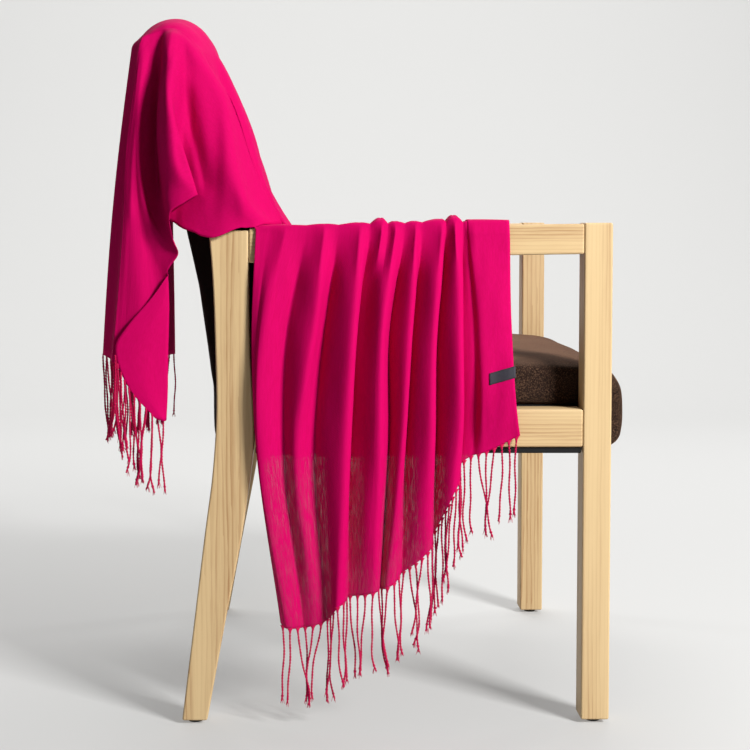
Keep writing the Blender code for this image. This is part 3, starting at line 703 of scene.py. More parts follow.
@dataclass
class WoodenFrame:
    """Legs, arms and rails of the chair, planed square with rounded edges.

    front_leg is its back, front and top; rail the side rails' back end, underside and top; and
    the cross rails are given by their back and front faces.
    """

    width: float = 573.0
    leg_depth: float = 38.0
    gap: float = 0.35
    foot: float = 5.05
    front_leg: Triple = (374.0, 411.0, 660.5)
    rear_leg: tuple[Station, ...] = (
        Station(5.05, -152, -119), Station(114, -138.5, -99), Station(271, -119, -69.5),
        Station(323, -112, -62), Station(369, -108, -57), Station(402, -106, -57),
        Station(500, -107, -62), Station(594, -110.5, -63.5), Station(651, -115, -63.5))
    arm_underside: tuple[Pair, ...] = (
        (ARM_BACK, 608.0), (100.0, 615.5), (373.65, 619.7))
    rail: Triple = (-55.5, 367.0, 416.5)
    front_rail: Pair = (376.0, 409.0)
    rear_rail: Pair = (-96.0, -66.0)
    leg_rows: int = 40
    edge: float = 2.6
    edge_steps: int = 4

    def member(self, name: str, outline: Sequence[Pair], y_low: float, y_high: float,
               grain: Grain) -> None:
        """Cuts one member.

        Args:
            name: The CAD node that it replaces.
            outline: Its corners in x and z.
            y_low: Its near face.
            y_high: Its far face.
            grain: The way that its fibres run.
        """
        near, far = (placed([(x, y, z) for x, z in outline]) for y in (y_low, y_high))
        mesh = prism(f"{name}_wood", near, far)
        made = new_object(f"{name}_wood", mesh)
        edge = made.modifiers.new("sanded_edges", "BEVEL")
        edge.width = self.edge * MM
        edge.segments = self.edge_steps
        edge.limit_method = "ANGLE"
        edge.angle_limit = math.radians(30)
        edge.harden_normals = True
        mesh.shade_smooth()
        mesh.materials.append(WOOD[grain])
        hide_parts(name)

    def block(self, name: str, low: Triple, high: Triple,
              grain: Grain) -> None:
        """Cuts a straight member.

        Args:
            name: The CAD node that it replaces.
            low: Its corner with the lowest x, y and z.
            high: Its corner with the highest.
            grain: The way that its fibres run.
        """
        outline = [(low[0], low[2]), (high[0], low[2]), (high[0], high[2]), (low[0], high[2])]
        self.member(name, outline, low[1], high[1], grain)

    def side(self, side: str, y_low: float) -> None:
        """Makes one side: its legs, arm and seat rail.

        Args:
            side: "near" or "far".
            y_low: The side's near face.
        """
        y_high = y_low + self.leg_depth
        heights = [station.z for station in self.rear_leg]
        z = np.linspace(heights[0], heights[-1], self.leg_rows)
        back = smooth(heights, [station.back for station in self.rear_leg], z)
        front = smooth(heights, [station.front for station in self.rear_leg], z)
        self.member(f"leg_rear_{side}", [*zip(front, z), *reversed(list(zip(back, z)))],
                    y_low, y_high, Grain.UPRIGHT)
        leg_back, leg_front, leg_top = self.front_leg
        self.block(f"leg_front_{side}", (leg_back, y_low, self.foot),
                   (leg_front, y_high, leg_top), Grain.UPRIGHT)
        arm_front = leg_back - self.gap
        self.member(f"arm_{side}", [*self.arm_underside, (arm_front, arm_height(arm_front)),
                                    (ARM_BACK, ARM_TOP)], y_low, y_high, Grain.LENGTHWISE)
        back_end, low, top = self.rail
        self.block(f"seat_rail_{side}", (back_end, y_low, low), (arm_front, y_high, top),
                   Grain.LENGTHWISE)

    def build(self) -> None:
        """Makes both sides and the two cross rails."""
        self.side("near", 0.0)
        self.side("far", self.width - self.leg_depth)
        inner = (self.leg_depth + self.gap, self.width - self.leg_depth - self.gap)
        _, low, top = self.rail
        for name, (back, front) in (("seat_rail_front", self.front_rail),
                                    ("seat_rail_rear", self.rear_rail)):
            self.block(name, (back, inner[0], low), (front, inner[1], top), Grain.CROSSWISE)
        LOG.info("wooden frame: 4 legs, 2 arms, 4 rails")


@dataclass
class Cushion:
    """An upholstered cushion, whose cover is blown up by cloth pressure over the CAD's form."""

    node: str
    slot: str
    finish: BrushedSuede
    voxel: float = 6.0
    pressure: float = 4.0
    frames: int = 20
    cap: float = 3.0
    shrink: float = 1.6
    soften: int = 4
    fill: float = 0.8

    def swell(self, piece: bpy.types.Object) -> None:
        """Lets cloth under pressure fill out the cover, no further than the cap.

        Args:
            piece: The cover, whose mesh is moved.
        """
        mesh = piece.data
        start = np.empty(len(mesh.vertices) * 3)
        mesh.vertices.foreach_get("co", start)
        cloth = piece.modifiers.new("pressure", "CLOTH")
        cloth.settings.use_pressure = True
        cloth.settings.uniform_pressure_force = self.pressure
        cloth.settings.effector_weights.gravity = 0.0
        scene = bpy.context.scene
        for frame in range(1, self.frames + 1):
            scene.frame_set(frame)
        settled = piece.evaluated_get(bpy.context.evaluated_depsgraph_get())
        end = np.empty_like(start)
        settled.data.vertices.foreach_get("co", end)
        piece.modifiers.remove(cloth)
        scene.frame_set(1)
        moved = (end - start).reshape(-1, 3)
        far = np.linalg.norm(moved, axis=1, keepdims=True)
        moved *= np.minimum(1.0, self.cap * MM / np.maximum(far, 1e-9))
        mesh.vertices.foreach_set("co", (start.reshape(-1, 3) + moved).reshape(-1))
        mesh.update()

    def build(self, nodes: dict[str, bpy.types.Object]) -> None:
        """Makes the cover.

        Args:
            nodes: The CAD nodes by name.
        """
        mesh = nodes[self.node].data.copy()
        mesh.name = f"{self.node}_cover"
        mesh.materials.clear()
        made = new_object(f"{self.node}_cover", mesh)
        draw_in = made.modifiers.new("draw_in", "DISPLACE")
        draw_in.strength = -self.shrink * MM
        draw_in.mid_level = 0.0
        voxels = made.modifiers.new("voxels", "REMESH")
        voxels.mode = "VOXEL"
        voxels.voxel_size = self.voxel * MM
        soften = made.modifiers.new("soften", "SMOOTH")
        soften.iterations = self.soften
        settled = made.evaluated_get(bpy.context.evaluated_depsgraph_get())
        made.data = bpy.data.meshes.new_from_object(settled)
        made.data.name = f"{self.node}_cover"
        made.modifiers.clear()
        self.swell(made)
        made.data.shade_smooth()
        made.modifiers.new("fine", "SUBSURF").levels = 1
        made.modifiers["fine"].render_levels = 1
        made.data.materials.clear()
        made.data.materials.append(self.finish.material())
        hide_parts(self.node)
        LOG.info("%s: %d faces", made.name, len(made.data.polygons))


# ---------------------------------------------------------------- scarf

class Gather(NamedTuple):
    """One ridge or valley outside the arm.

    top, mid and low are its places at the arm, at z 520 and at z 388, and hem_x and hem_z its
    end on the hem. The four "out" values are how far it stands out from the wood at the arm, at
    those two heights and at the hem. lift is its rise over the arm, and nose how far its crest
    overhangs the valley in front of it.
    """

    top: float
    mid: float
    low: float
    hem_x: float
    hem_z: float
    top_out: float
    mid_out: float
    low_out: float
    hem_out: float
    lift: float = 0.0
    nose: float = 0.0


@dataclass
class ArmStretch:
    """The stretch that hangs outside the near arm and runs over it.

    The fades are heights over which something comes in: arch_fade the pleats' round form,
    loop_fade the small loop's own gathers and nose_fade the crests' overhang, all below the arm,
    and sheer_fades the open weave below free_from, in the valleys and off the rear selvage.
    """

    gathers: tuple[Gather, ...] = (
        Gather(-54, -59, -55, -22, 138, 3, 9, 11, 8),
        Gather(-38, -52, -53, -18, 133, 2, 12, 15, 10),
        Gather(-16, -44, -49, -11, 131, 7, 18, 19, 13, 1),
        Gather(12, -13, -18, 8, 131, 3, 3, 4, 5),
        Gather(35, 19, 0, 25, 135, 9, 27, 22, 10, 2),
        Gather(54, 35, 23, 39, 141, 3, 2, 3, 5),
        Gather(81, 70, 62, 52, 162, 10, 36, 38, 26, 3, 3.0),
        Gather(95, 76, 69, 66, 171, 3, 4, 4, 5, 1),
        Gather(109, 90, 84, 78, 174, 11, 24, 24, 12, 8),
        Gather(118, 100, 95, 88, 176, 4, 28, 28, 15, 1),
        Gather(127, 108, 105, 98, 179, 11, 34, 34, 18, 4, 2.0),
        Gather(140, 120, 119, 108, 182, 3, 4, 4, 5, 1),
        Gather(153, 143, 136, 118, 186, 9, 27, 27, 16, 4, 3.0),
        Gather(163, 149, 142, 136, 202, 3, 4, 4, 5, 2),
        Gather(187, 174, 171, 166, 229, 10, 30, 31, 18, 6, 3.0),
        Gather(193, 181, 180, 178, 254, 3, 3, 3, 5, 2),
        Gather(204, 207, 208, 203, 311, 14, 32, 33, 22, 10, 3.0),
        Gather(215, 213, 214, 213, 344, 3, 4, 4, 4, 1),
        Gather(220, 229, 231, 228, 357, 5, 8, 8, 6, 3),
        Gather(228, 242, 244, 246, 363, 10, 16, 17, 11, 5),
        Gather(275, 278, 289, 290, 384, 9, 12, 12, 9, 4),
    )
    loop: tuple[int, int] = (8, 9)
    loop_low: float = 585.0
    loop_fade: float = 40.0
    fall_top: float = 648.0
    bend_height: float = 588.0
    bend_share: float = 0.28
    mid_height: float = 520.0
    low_height: float = 388.0
    arch_fade: float = 60.0
    nose_fade: float = 90.0
    nose_least: float = 0.3
    free_from: float = 361.0
    valley_depth: float = 27.0
    selvage: float = -52.0
    sheer_fades: Triple = (5.0, 12.0, 18.0)
    off_wood: float = 1.5
    arm_across: Triple = (10.0, 31.0, 40.4)
    arm_shares: tuple[float, ...] = (0.0, 0.15, 0.4, 0.8, 1.0)
    turn_reach: tuple[float, ...] = (0.12, 0.50)
    lobe: float = 1.5
    round_share: float = 0.8
    sharpness: float = 1.7
    columns: int = 12
    fall_rows: int = 110
    arm_rows: int = 30
    thickness: float = 0.6

    def crossing(self, out: Points, kept: Sequence[int], arch: Points) -> Points:
        """Runs the cloth across from line to line as arches that meet in narrow valleys.

        Args:
            out: How far each line stands out, as [line][row].
            kept: The lines that count.
            arch: How far each row is arched, from 0 for sharp ridges to 1 for round ones.

        Returns:
            The same at every column.
        """
        columns = (len(out) - 1) * self.columns + 1
        place = np.arange(columns) / self.columns
        made = np.empty((columns, out.shape[1]))
        for start, end in zip(kept, kept[1:]):
            inside = (place >= start) & (place <= end)
            share = ((place[inside] - start) / (end - start))[:, None]
            rise = np.where(out[end] >= out[start], share, 1 - share)
            low, high = np.minimum(out[start], out[end]), np.maximum(out[start], out[end])
            arched = (self.round_share * np.sin(np.pi / 2 * rise)
                      + (1 - self.round_share) * eased(rise))
            sharp = rise ** self.sharpness
            made[inside] = low + (high - low) * (arch * arched + (1 - arch) * sharp)
        return made

    def fall(self) -> Points:
        """Hangs the part below the arm, with its pleats laid over to the front.

        Returns:
            The grid from the hem up to the arm.
        """
        shares = np.linspace(0, 1, self.fall_rows + 1)
        lines = []
        for gather in self.gathers:
            heights = gather.hem_z + (self.fall_top - gather.hem_z) * shares
            places = [gather.hem_z, self.low_height, self.mid_height, self.fall_top]
            x = smooth(places, [gather.hem_x, gather.low, gather.mid, gather.top], heights)
            bend = self.bend_share * gather.top_out + (1 - self.bend_share) * gather.mid_out
            places.insert(3, self.bend_height)
            out = smooth(places, [gather.hem_out, gather.low_out, gather.mid_out, bend,
                                  gather.top_out], heights)
            lines.append(np.stack([x, out, heights], axis=-1))
        lines = np.array(lines)
        grid = fine(lines, self.columns)
        height = lines[..., 2].mean(axis=0)
        arch = eased((self.fall_top - height) / self.arch_fade)
        every = list(range(len(self.gathers)))
        main = [number for number in every if number not in self.loop]
        near_top = eased((grid[..., 2] - self.loop_low) / self.loop_fade)
        out = (near_top * self.crossing(lines[..., 1], every, arch)
               + (1 - near_top) * self.crossing(lines[..., 1], main, arch))
        grid[..., 1] = -out
        soft = eased((self.fall_top - height) / self.nose_fade)
        share = self.nose_least + (1 - self.nose_least) * soft
        bulge = np.sin(np.pi * np.linspace(0, 1, self.columns + 1))[:, None]
        for number, gather in enumerate(self.gathers):
            if gather.nose:
                first = number * self.columns
                grid[first:first + self.columns + 1, :, 0] += gather.nose * bulge * share
        return self.rippled(grid.transpose(1, 0, 2))

    def rippled(self, grid: Points) -> Points:
        """Adds the small slow ripples that a light cloth keeps.

        Args:
            grid: The fall's points, which are moved in and out.

        Returns:
            The same grid.
        """
        x, z = grid[..., 0], grid[..., 2]
        wave = (0.50 * np.sin(x / 6.1 + z / 47 + 0.4) * np.sin(z / 83 + 1.1)
                + 0.35 * np.sin(x / 3.7 - z / 61 + 2.0) * np.sin(z / 57 + 0.3)
                + 0.45 * np.sin(x / 11.3 + z / 29 + 0.9))
        fade = eased((self.fall_top - z) / self.arch_fade)
        grid[..., 1] += wave * fade
        return grid

    def over(self, first: Points, drape_edge: Points) -> Points:
        """The part over the arm.

        Args:
            first: The fall's top row.
            drape_edge: The drape's first line, where the first gathers turn to the back.

        Returns:
            The grid from the fall's top to the arm's inner corner.
        """
        numbers = list(range(len(self.gathers)))
        place = np.linspace(0, len(numbers) - 1, first.shape[0])
        x = smooth(numbers, [gather.top for gather in self.gathers], place)
        lifts = np.array([[gather.lift] for gather in self.gathers])
        lift = self.crossing(lifts, numbers, np.full(1, self.lobe))[:, 0]
        reach = smooth(range(4), [*self.turn_reach, 1.0, 1.0], np.minimum(place, 3))
        lines = []
        for column, out in enumerate(-first[:, 1]):
            top, rise = arm_height(x[column]), lift[column]
            above = top + self.off_wood
            outer, inner, edge = self.arm_across
            path = np.array([
                (x[column], -out, self.fall_top),
                (x[column], -self.off_wood - 0.25 * rise - 0.16 * out, top + 1.1 + 0.5 * rise),
                (x[column], outer, above + rise),
                (x[column], inner, above + 0.8 * rise),
                (x[column], edge, top + 0.5),
            ])
            corner = min(self.arm_shares[1], reach[column] / 2)
            stations = np.append(np.linspace(0.0, corner, 5)[:-1],
                                 np.linspace(corner, reach[column], self.arm_rows - 3))
            lines.append(smooth(self.arm_shares, path, stations))
        grid = np.array(lines).transpose(1, 0, 2)
        fade = (1 - np.linspace(0, 1, len(grid))[:, None, None]) ** 5
        grid += (first - grid[0])[None] * fade
        turned = len(self.turn_reach) * self.columns + 1
        away = drape_edge - grid[-1, :turned]
        grid[:, :turned] += away * np.linspace(0, 1, len(grid))[:, None, None] ** 2
        return grid

    def sheerness(self, grid: Points) -> Points:
        """Opens the weave in the valleys of the part that hangs free.

        Args:
            grid: The stretch's points.

        Returns:
            How far it opens at each point, from 0 to 1.
        """
        free_fade, valley_fade, side_fade = self.sheer_fades
        free = eased((self.free_from - grid[..., 2]) / free_fade)
        valley = eased((self.valley_depth + grid[..., 1]) / valley_fade)
        side = eased((grid[..., 0] - self.selvage) / side_fade)
        return free * valley * side

    def build(self, drape_edge: Points) -> tuple[bpy.types.Object, Points]:
        """Makes the stretch.

        Args:
            drape_edge: The drape's first line, from its edge to its crest.

        Returns:
            The piece and the fall's grid, for the hem and the label.
        """
        fall = self.fall()
        over = self.over(fall[-1], drape_edge)
        grid = np.concatenate([fall, over[1:]])
        across = np.linspace(0, PANEL_WIDTH, grid.shape[1])[None, :]
        run = np.linalg.norm(np.diff(grid, axis=0), axis=-1).mean(axis=1) * MM
        along = np.concatenate([[0.0], np.cumsum(run)])[:, None]
        cloth = ClothMesh()
        cloth.add(grid, across, along, self.sheerness(grid))
        made = cloth.build("scarf_arm_stretch", self.thickness)
        return made, fall


class DrapeLine(NamedTuple):
    """One line of the drape: from the crest through a middle point to its edge.

    roll is how far the cloth stands off where it turns from the crest.
    """

    crest: Triple
    middle: Triple
    edge: Triple
    roll: float


class Crease(NamedTuple):
    """A ridge drawn on the drape, or a valley where its height is negative.

    path is where it runs, in x and z; before and after are its reach to the left and to the
    right of that path, looking along it.
    """

    path: tuple[Pair, ...]
    height: float
    before: float
    after: float


class FrontLine(NamedTuple):
    """One line up the front: its share across the stretch, and points from the arm up."""

    share: float
    points: tuple[Triple, ...]


class RearFold(NamedTuple):
    """One line down the rear fall.

    share is its place across the stretch, y its distance from the near arm, and bulge how far
    its middle stands off the straight line from its top to the hem.
    """

    share: float
    y: float
    top_x: float
    top_z: float
    hem_x: float
    hem_z: float
    bulge: float


@dataclass
class BackStretch:
    """The stretch from the arm over the back: its near drape, front, top, rear and corner.

    The three crests are the numbers of the drape lines that each wide stretch joins, and flap
    holds the middle and edge of the folded corner's lines. top is the cloth's highest point by
    its share across the stretch. groove is the depth, middle and width of the narrow valley
    beside the drape's crest, roll the middle and width of the swelling next to it, and the
    waves give how many loose folds there are and how far they drift.
    """

    drape: tuple[DrapeLine, ...] = (
        DrapeLine((-19, 43, 658), (-39, 16, 658.5), (-56, -3.8, 655), 0),
        DrapeLine((-48, 40, 712), (-56, 6, 682), (-65, -4, 654), 0),
        DrapeLine((-64, 38, 756), (-68, -6, 700), (-74, -6, 654), 1),
        DrapeLine((-76, 36, 795), (-78, -10, 718), (-83, -8, 651), 2),
        DrapeLine((-89, 33, 827), (-91, -12, 735), (-96, -9, 645), 3),
        DrapeLine((-104, 31, 849), (-104, -8, 748), (-109, -8, 641), 4),
        DrapeLine((-117, 29, 870), (-118, -7, 761), (-123, -5, 643), 5),
        DrapeLine((-129, 26, 889), (-130, -2, 779), (-134, -3, 648), 6),
        DrapeLine((-139, 24, 901), (-140, 3, 794), (-149, 2, 653), 7),
        DrapeLine((-145, 22, 906), (-148, 1, 807), (-161, 8, 661), 7),
        DrapeLine((-151, 21, 910), (-155, -15, 814), (-171, 7, 668), 7),
        DrapeLine((-157, 20, 912), (-160, -30, 823), (-127, -36, 695), 7),
        DrapeLine((-163, 19, 913), (-169, -36, 824), (-143, -42, 686), 7),
        DrapeLine((-170, 18, 913), (-179, -26, 792), (-162, -36, 671), 7),
        DrapeLine((-178, 18, 911), (-183, 14, 736), (-159, -24, 638), 6),
        DrapeLine((-190, 15, 906), (-195, 6, 709), (-153, -18, 620), 5),
        DrapeLine((-203, 10, 895), (-203, -6, 722), (-168, -8, 596), 4),
        DrapeLine((-210, 2, 841), (-206, -5, 690), (-167, -3, 559), 3),
        DrapeLine((-221, -2, 751), (-203, -7, 630), (-168, 0, 520), 2),
        DrapeLine((-225, -3, 663), (-203, -8, 562), (-169, 2, 490), 2),
        DrapeLine((-232, -2, 572), (-206, -5, 496), (-170, 4, 440), 1),
        DrapeLine((-241, 0, 480), (-206, 1, 438), (-172, 5, 403), 0),
    )
    drape_shares: tuple[float, ...] = (0.0, 0.25, 0.55, 1.0)
    front_crest: tuple[int, int] = (0, 8)
    top_crest: tuple[int, int] = (7, 17)
    rear_crest: tuple[int, int] = (16, 22)
    flap: tuple[tuple[Triple, Triple], ...] = (
        ((-166.5, -9.5, 593), (-169, -11.5, 590)),
        ((-174, -8.5, 560), (-188, -10.5, 564)),
        ((-192, -9, 522), (-222, -11, 524)),
        ((-200, -8.5, 492), (-236, -10, 494)),
        ((-194, -6.5, 441), (-219, -9, 447)),
        ((-173.5, -2, 402), (-185, -4.5, 406)),
    )
    flap_shares: tuple[float, ...] = (0.0, 0.45, 1.0)
    flap_corner: int = 3
    fold_turn: Triple = (0.8, -1.7, 0.0)
    front: tuple[FrontLine, ...] = (
        FrontLine(0.05, ((-17, 42, 657), (-50, 48, 715), (-77, 50, 782), (-98, 54, 831),
                         (-117, 57, 884))),
        FrontLine(0.14, ((-15, 41, 656), (-43, 58, 715), (-68, 71, 793), (-94, 79, 856),
                         (-116, 88, 897))),
        FrontLine(0.32, ((4, 41, 656), (-22, 84, 622), (-50, 125, 742), (-89, 150, 836),
                         (-119, 178, 904))),
        FrontLine(0.60, ((100, 41, 657), (50, 130, 598), (-18, 215, 622), (-67, 262, 768),
                         (-119, 310, 906))),
        FrontLine(1.00, ((275, 41, 659), (205, 150, 585), (57, 370, 588), (-54, 480, 716),
                         (-118, 506, 882))),
    )
    top: tuple[Pair, ...] = (
        (0.0, 913), (0.05, 922), (0.10, 929), (0.16, 934), (0.22, 939), (0.32, 946),
        (0.50, 953), (0.68, 952), (0.85, 942), (1.0, 925))
    rear: tuple[RearFold, ...] = (
        RearFold(0.05, 26, -208, 894, -247, 481, 0),
        RearFold(0.11, 50, -219, 892, -260, 485, -5),
        RearFold(0.20, 92, -217, 897, -250, 478, -1),
        RearFold(0.28, 140, -224, 902, -258, 470, -6),
        RearFold(0.38, 192, -216, 905, -243, 462, -2),
        RearFold(0.48, 244, -223, 907, -251, 456, -6),
        RearFold(0.59, 300, -215, 906, -236, 452, -2),
        RearFold(0.70, 354, -221, 903, -243, 449, -6),
        RearFold(0.81, 408, -212, 897, -226, 447, -2),
        RearFold(0.91, 456, -217, 889, -229, 445, -4),
        RearFold(1.00, 500, -209, 874, -208, 444, -2),
    )
    creases: tuple[Crease, ...] = (
        Crease(((-150, 900), (-131, 886), (-106, 855), (-91, 808), (-80, 745), (-67, 693),
                (-45, 666), (-22, 653)), 6.0, 5.0, 16.0),
        Crease(((-140, 897), (-122, 880), (-98, 850), (-83, 805), (-72, 745), (-59, 697),
                (-40, 670), (-25, 660)), -4.0, 11.0, 7.0),
        Crease(((-158, 886), (-157, 800), (-153, 735), (-131, 697)), 5.0, 5.0, 12.0),
        Crease(((-150, 850), (-137, 783), (-124, 733), (-116, 689)), -5.0, 12.0, 6.0),
        Crease(((-166, 890), (-176, 800), (-178, 740), (-172, 690)), -8.0, 8.0, 12.0),
        Crease(((-196, 893), (-205, 800), (-212, 740), (-216, 650)), 2.5, 5.0, 4.0),
    )
    crease_fade: float = 30.0
    crest_kept: float = 0.04
    edge_kept: float = 0.15
    groove: Triple = (4.5, 0.013, 0.010)
    groove_start: float = 0.004
    groove_lean: float = 0.3
    roll: Pair = (0.05, 0.018)
    roll_share: float = 0.5
    front_fold: float = 5.0
    front_waves: Pair = (4.2, 0.35)
    rear_fold: float = 9.0
    rear_waves: Pair = (7.3, 0.2)
    fold_start: Pair = (0.14, 0.20)
    arm_hold: float = 3.0
    top_roundness: float = 1.4
    per_line: int = 8
    drape_rows: int = 80
    flap_rows: int = 16
    crease_steps: int = 60
    columns: int = 150
    crest_reach: int = 50
    crest_crowding: float = 1.15
    thickness: float = 0.6

    def drape_line(self, line: DrapeLine, shares: Points) -> Points:
        """Follows one line of the drape.

        Args:
            line: The line.
            shares: How far from the crest to the edge, from 0 to 1.

        Returns:
            Its points there.
        """
        crest, middle, edge = (np.array(point, dtype=float) for point in line[:3])
        shoulder = crest + self.drape_shares[1] * (middle - crest)
        shoulder += np.array((0, -line.roll, line.roll))
        return smooth(self.drape_shares, [crest, shoulder, middle, edge], shares)

    def drape_grid(self) -> Points:
        """Lays the near drape.

        Returns:
            Its points, as [from crest to edge][along the cloth].
        """
        shares = np.linspace(0, 1, self.drape_rows + 1)
        lines = [self.drape_line(line, shares) for line in self.drape]
        grid = fine(np.array(lines), self.per_line).transpose(1, 0, 2)
        return self.creased(grid)

    def creased(self, grid: Points) -> Points:
        """Presses the creases into the drape, which keeps its crest and its turned edge.

        Args:
            grid: The drape's points, which are moved in and out.

        Returns:
            The same grid.
        """
        across = np.linspace(0, 1, len(grid))[:, None]
        turned = np.arange(grid.shape[1])[None, :] >= (self.rear_crest[0] - 1) * self.per_line
        at_edge = eased((1 - across) / self.edge_kept)
        kept = eased(across / self.crest_kept) * np.where(turned, at_edge, 1.0)
        flat = grid[..., [0, 2]].reshape(-1, 2)
        for crease in self.creases:
            path = smooth(range(len(crease.path)), crease.path,
                          np.linspace(0, len(crease.path) - 1, self.crease_steps))
            runs = np.diff(path, axis=0)
            lengths = np.linalg.norm(runs, axis=1)
            arcs = np.concatenate([[0.0], np.cumsum(lengths)])
            offsets = flat[:, None] - path[None, :-1]
            share = np.clip((offsets * runs).sum(axis=-1) / lengths ** 2, 0, 1)
            gaps = offsets - share[..., None] * runs
            far = np.linalg.norm(gaps, axis=-1)
            nearest = far.argmin(axis=1)
            row = np.arange(len(flat))
            gap, run = gaps[row, nearest], runs[nearest]
            left = run[:, 0] * gap[:, 1] - run[:, 1] * gap[:, 0] > 0
            reach = np.where(left, crease.before, crease.after)
            arc = arcs[nearest] + share[row, nearest] * lengths[nearest]
            ends = eased(np.minimum(arc, arcs[-1] - arc) / self.crease_fade)
            rise = crease.height * np.exp(-(far[row, nearest] / reach) ** 2) * ends
            grid[..., 1] -= rise.reshape(grid.shape[:2]) * kept
        return grid

    def crest(self, lines: tuple[int, int]) -> Points:
        """Picks out a part of the drape's crest.

        Args:
            lines: The number of its first line, and the one after its last.

        Returns:
            The crest's points.
        """
        whole = fine(np.array([line.crest for line in self.drape]), self.per_line)
        return whole[lines[0] * self.per_line:(lines[1] - 1) * self.per_line + 1]

    def flap_grid(self) -> Points:
        """Folds the corner forward from the drape's turned edge.

        Returns:
            Its points, as [from the fold to the edge][along the fold].
        """
        lines = []
        shares = np.linspace(0, 1, self.flap_rows + 1)
        for drape, (middle, edge) in zip(self.drape[slice(*self.rear_crest)], self.flap):
            fold = np.array(drape.edge, dtype=float)
            turned = smooth(self.flap_shares, [fold + self.fold_turn, middle, edge], shares)
            lines.append(np.concatenate([fold[None], turned]))
        return fine(np.array(lines), self.per_line).transpose(1, 0, 2)

    def shares(self) -> Points:
        """Places across the wide stretches, closer together near the drape's crest."""
        return np.linspace(0, 1, self.columns + 1) ** self.crest_crowding

    def folds(self, rows: int, waves: Pair) -> Points:
        """Spreads loose folds that run along a wide stretch.

        Args:
            rows: How many rows the stretch has.
            waves: How many folds lie across it, and how many of them they drift sideways
                from the first row to the last.

        Returns:
            Their height at each point, as [row][column], from 0 in a valley to about 1.
        """
        count, lean = waves
        start, reach = self.fold_start
        along = np.linspace(0, 1, rows)[:, None]
        turn = 2 * np.pi * (count * self.shares()[None, :] ** 0.85 + lean * along)
        wave = (np.sin(turn) + 0.4 * np.sin(1.7 * turn + 1.0)
                + 0.25 * np.sin(3.1 * turn + 2 * along))
        return np.clip(0.5 + wave / 2.6, 0, 1) * eased((self.shares() - start) / reach)[None, :]

    def edge_lines(self) -> tuple[Points, Points]:
        """Shapes the groove and the swelling that follow the drape's crest.

        Returns:
            The groove's depth and the swelling's height across the wide stretches.
        """
        depth, middle, width = self.groove
        place = self.shares()
        ditch = depth * np.exp(-((place - middle) / width) ** 2)
        swelling = depth * np.exp(-((place - self.roll[0]) / self.roll[1]) ** 2)
        return ditch * eased(place / self.groove_start), self.roll_share * swelling

    def front_grid(self, arm_corner: Points) -> Points:
        """Lays the front, from the arm over the seat to the back's front top edge.

        Args:
            arm_corner: The arm stretch's last row, on the arm's inner corner.

        Returns:
            Its points, as [from the arm up][across].
        """
        side = self.crest(self.front_crest)
        along = np.linspace(0, 1, len(side))
        lines = [side]
        for line in self.front:
            lines.append(smooth(np.linspace(0, 1, len(line.points)), line.points, along))
        places = [0.0] + [line.share for line in self.front]
        grid = smooth(places, np.array(lines), self.shares()).transpose(1, 0, 2)
        x = np.clip(grid[0, :, 0], arm_corner[0, 0], arm_corner[-1, 0])
        on_arm = np.stack([x, np.interp(x, arm_corner[:, 0], arm_corner[:, 1]),
                           np.interp(x, arm_corner[:, 0], arm_corner[:, 2])], axis=-1)
        grid += (1 - along)[:, None, None] ** self.arm_hold * (on_arm - grid[0])[None]
        grid[:, 0] = side
        ditch, swelling = self.edge_lines()
        fade = (eased(along * 4) * eased((1 - along) * 6))[:, None]
        grid[..., 0] -= self.groove_lean * ditch[None, :] * fade
        grid[..., 1] += (ditch - swelling)[None, :] * fade
        loose = self.folds(len(along), self.front_waves) * np.sin(np.pi * along)[:, None] ** 0.7
        grid[..., 0] += self.front_fold * loose
        return grid

    def rear_grid(self) -> Points:
        """Hangs the rear fall from the back's rear top edge.

        Returns:
            Its points, as [from the top down][across].
        """
        side = self.crest(self.rear_crest)
        along = np.linspace(0, 1, len(side))
        lines = [side]
        for fold in self.rear:
            x = fold.top_x + (fold.hem_x - fold.top_x) * along
            x += fold.bulge * np.sin(np.pi * along)
            z = fold.top_z + (fold.hem_z - fold.top_z) * along
            lines.append(np.stack([x, np.full_like(x, fold.y), z], axis=-1))
        places = [0.0] + [fold.share for fold in self.rear]
        grid = smooth(places, np.array(lines), self.shares()).transpose(1, 0, 2)
        loose = self.folds(len(along), self.rear_waves) * along[:, None] ** 0.8
        grid[..., 0] += self.rear_fold * loose
        return grid

    def top_grid(self, front: Points, rear: Points) -> Points:
        """Lays the cloth over the back's top.

        Args:
            front: The front's last row.
            rear: The rear fall's first row.

        Returns:
            The points between them, as [from front to rear][across].
        """
        side = self.crest(self.top_crest)
        crests = smooth([share for share, _ in self.top], [z for _, z in self.top], self.shares())
        along = np.linspace(0, 1, len(side))
        sweep = (1 - np.cos(np.pi * along))[:, None, None] / 2
        grid = front + (rear - front) * sweep
        rise = np.sin(np.pi * along)[:, None] ** self.top_roundness
        grid[..., 2] += rise * (crests - (front[:, 2] + rear[:, 2]) / 2)
        away = side - grid[:, 0]
        for column in range(self.crest_reach):
            grid[:, column] += away * (1 - column / self.crest_reach)
        ditch, swelling = self.edge_lines()
        fade = np.sqrt(np.clip(np.sin(np.pi * along), 0, 1))[:, None]
        grid[..., 2] -= (ditch - swelling)[None, :] * fade
        return grid

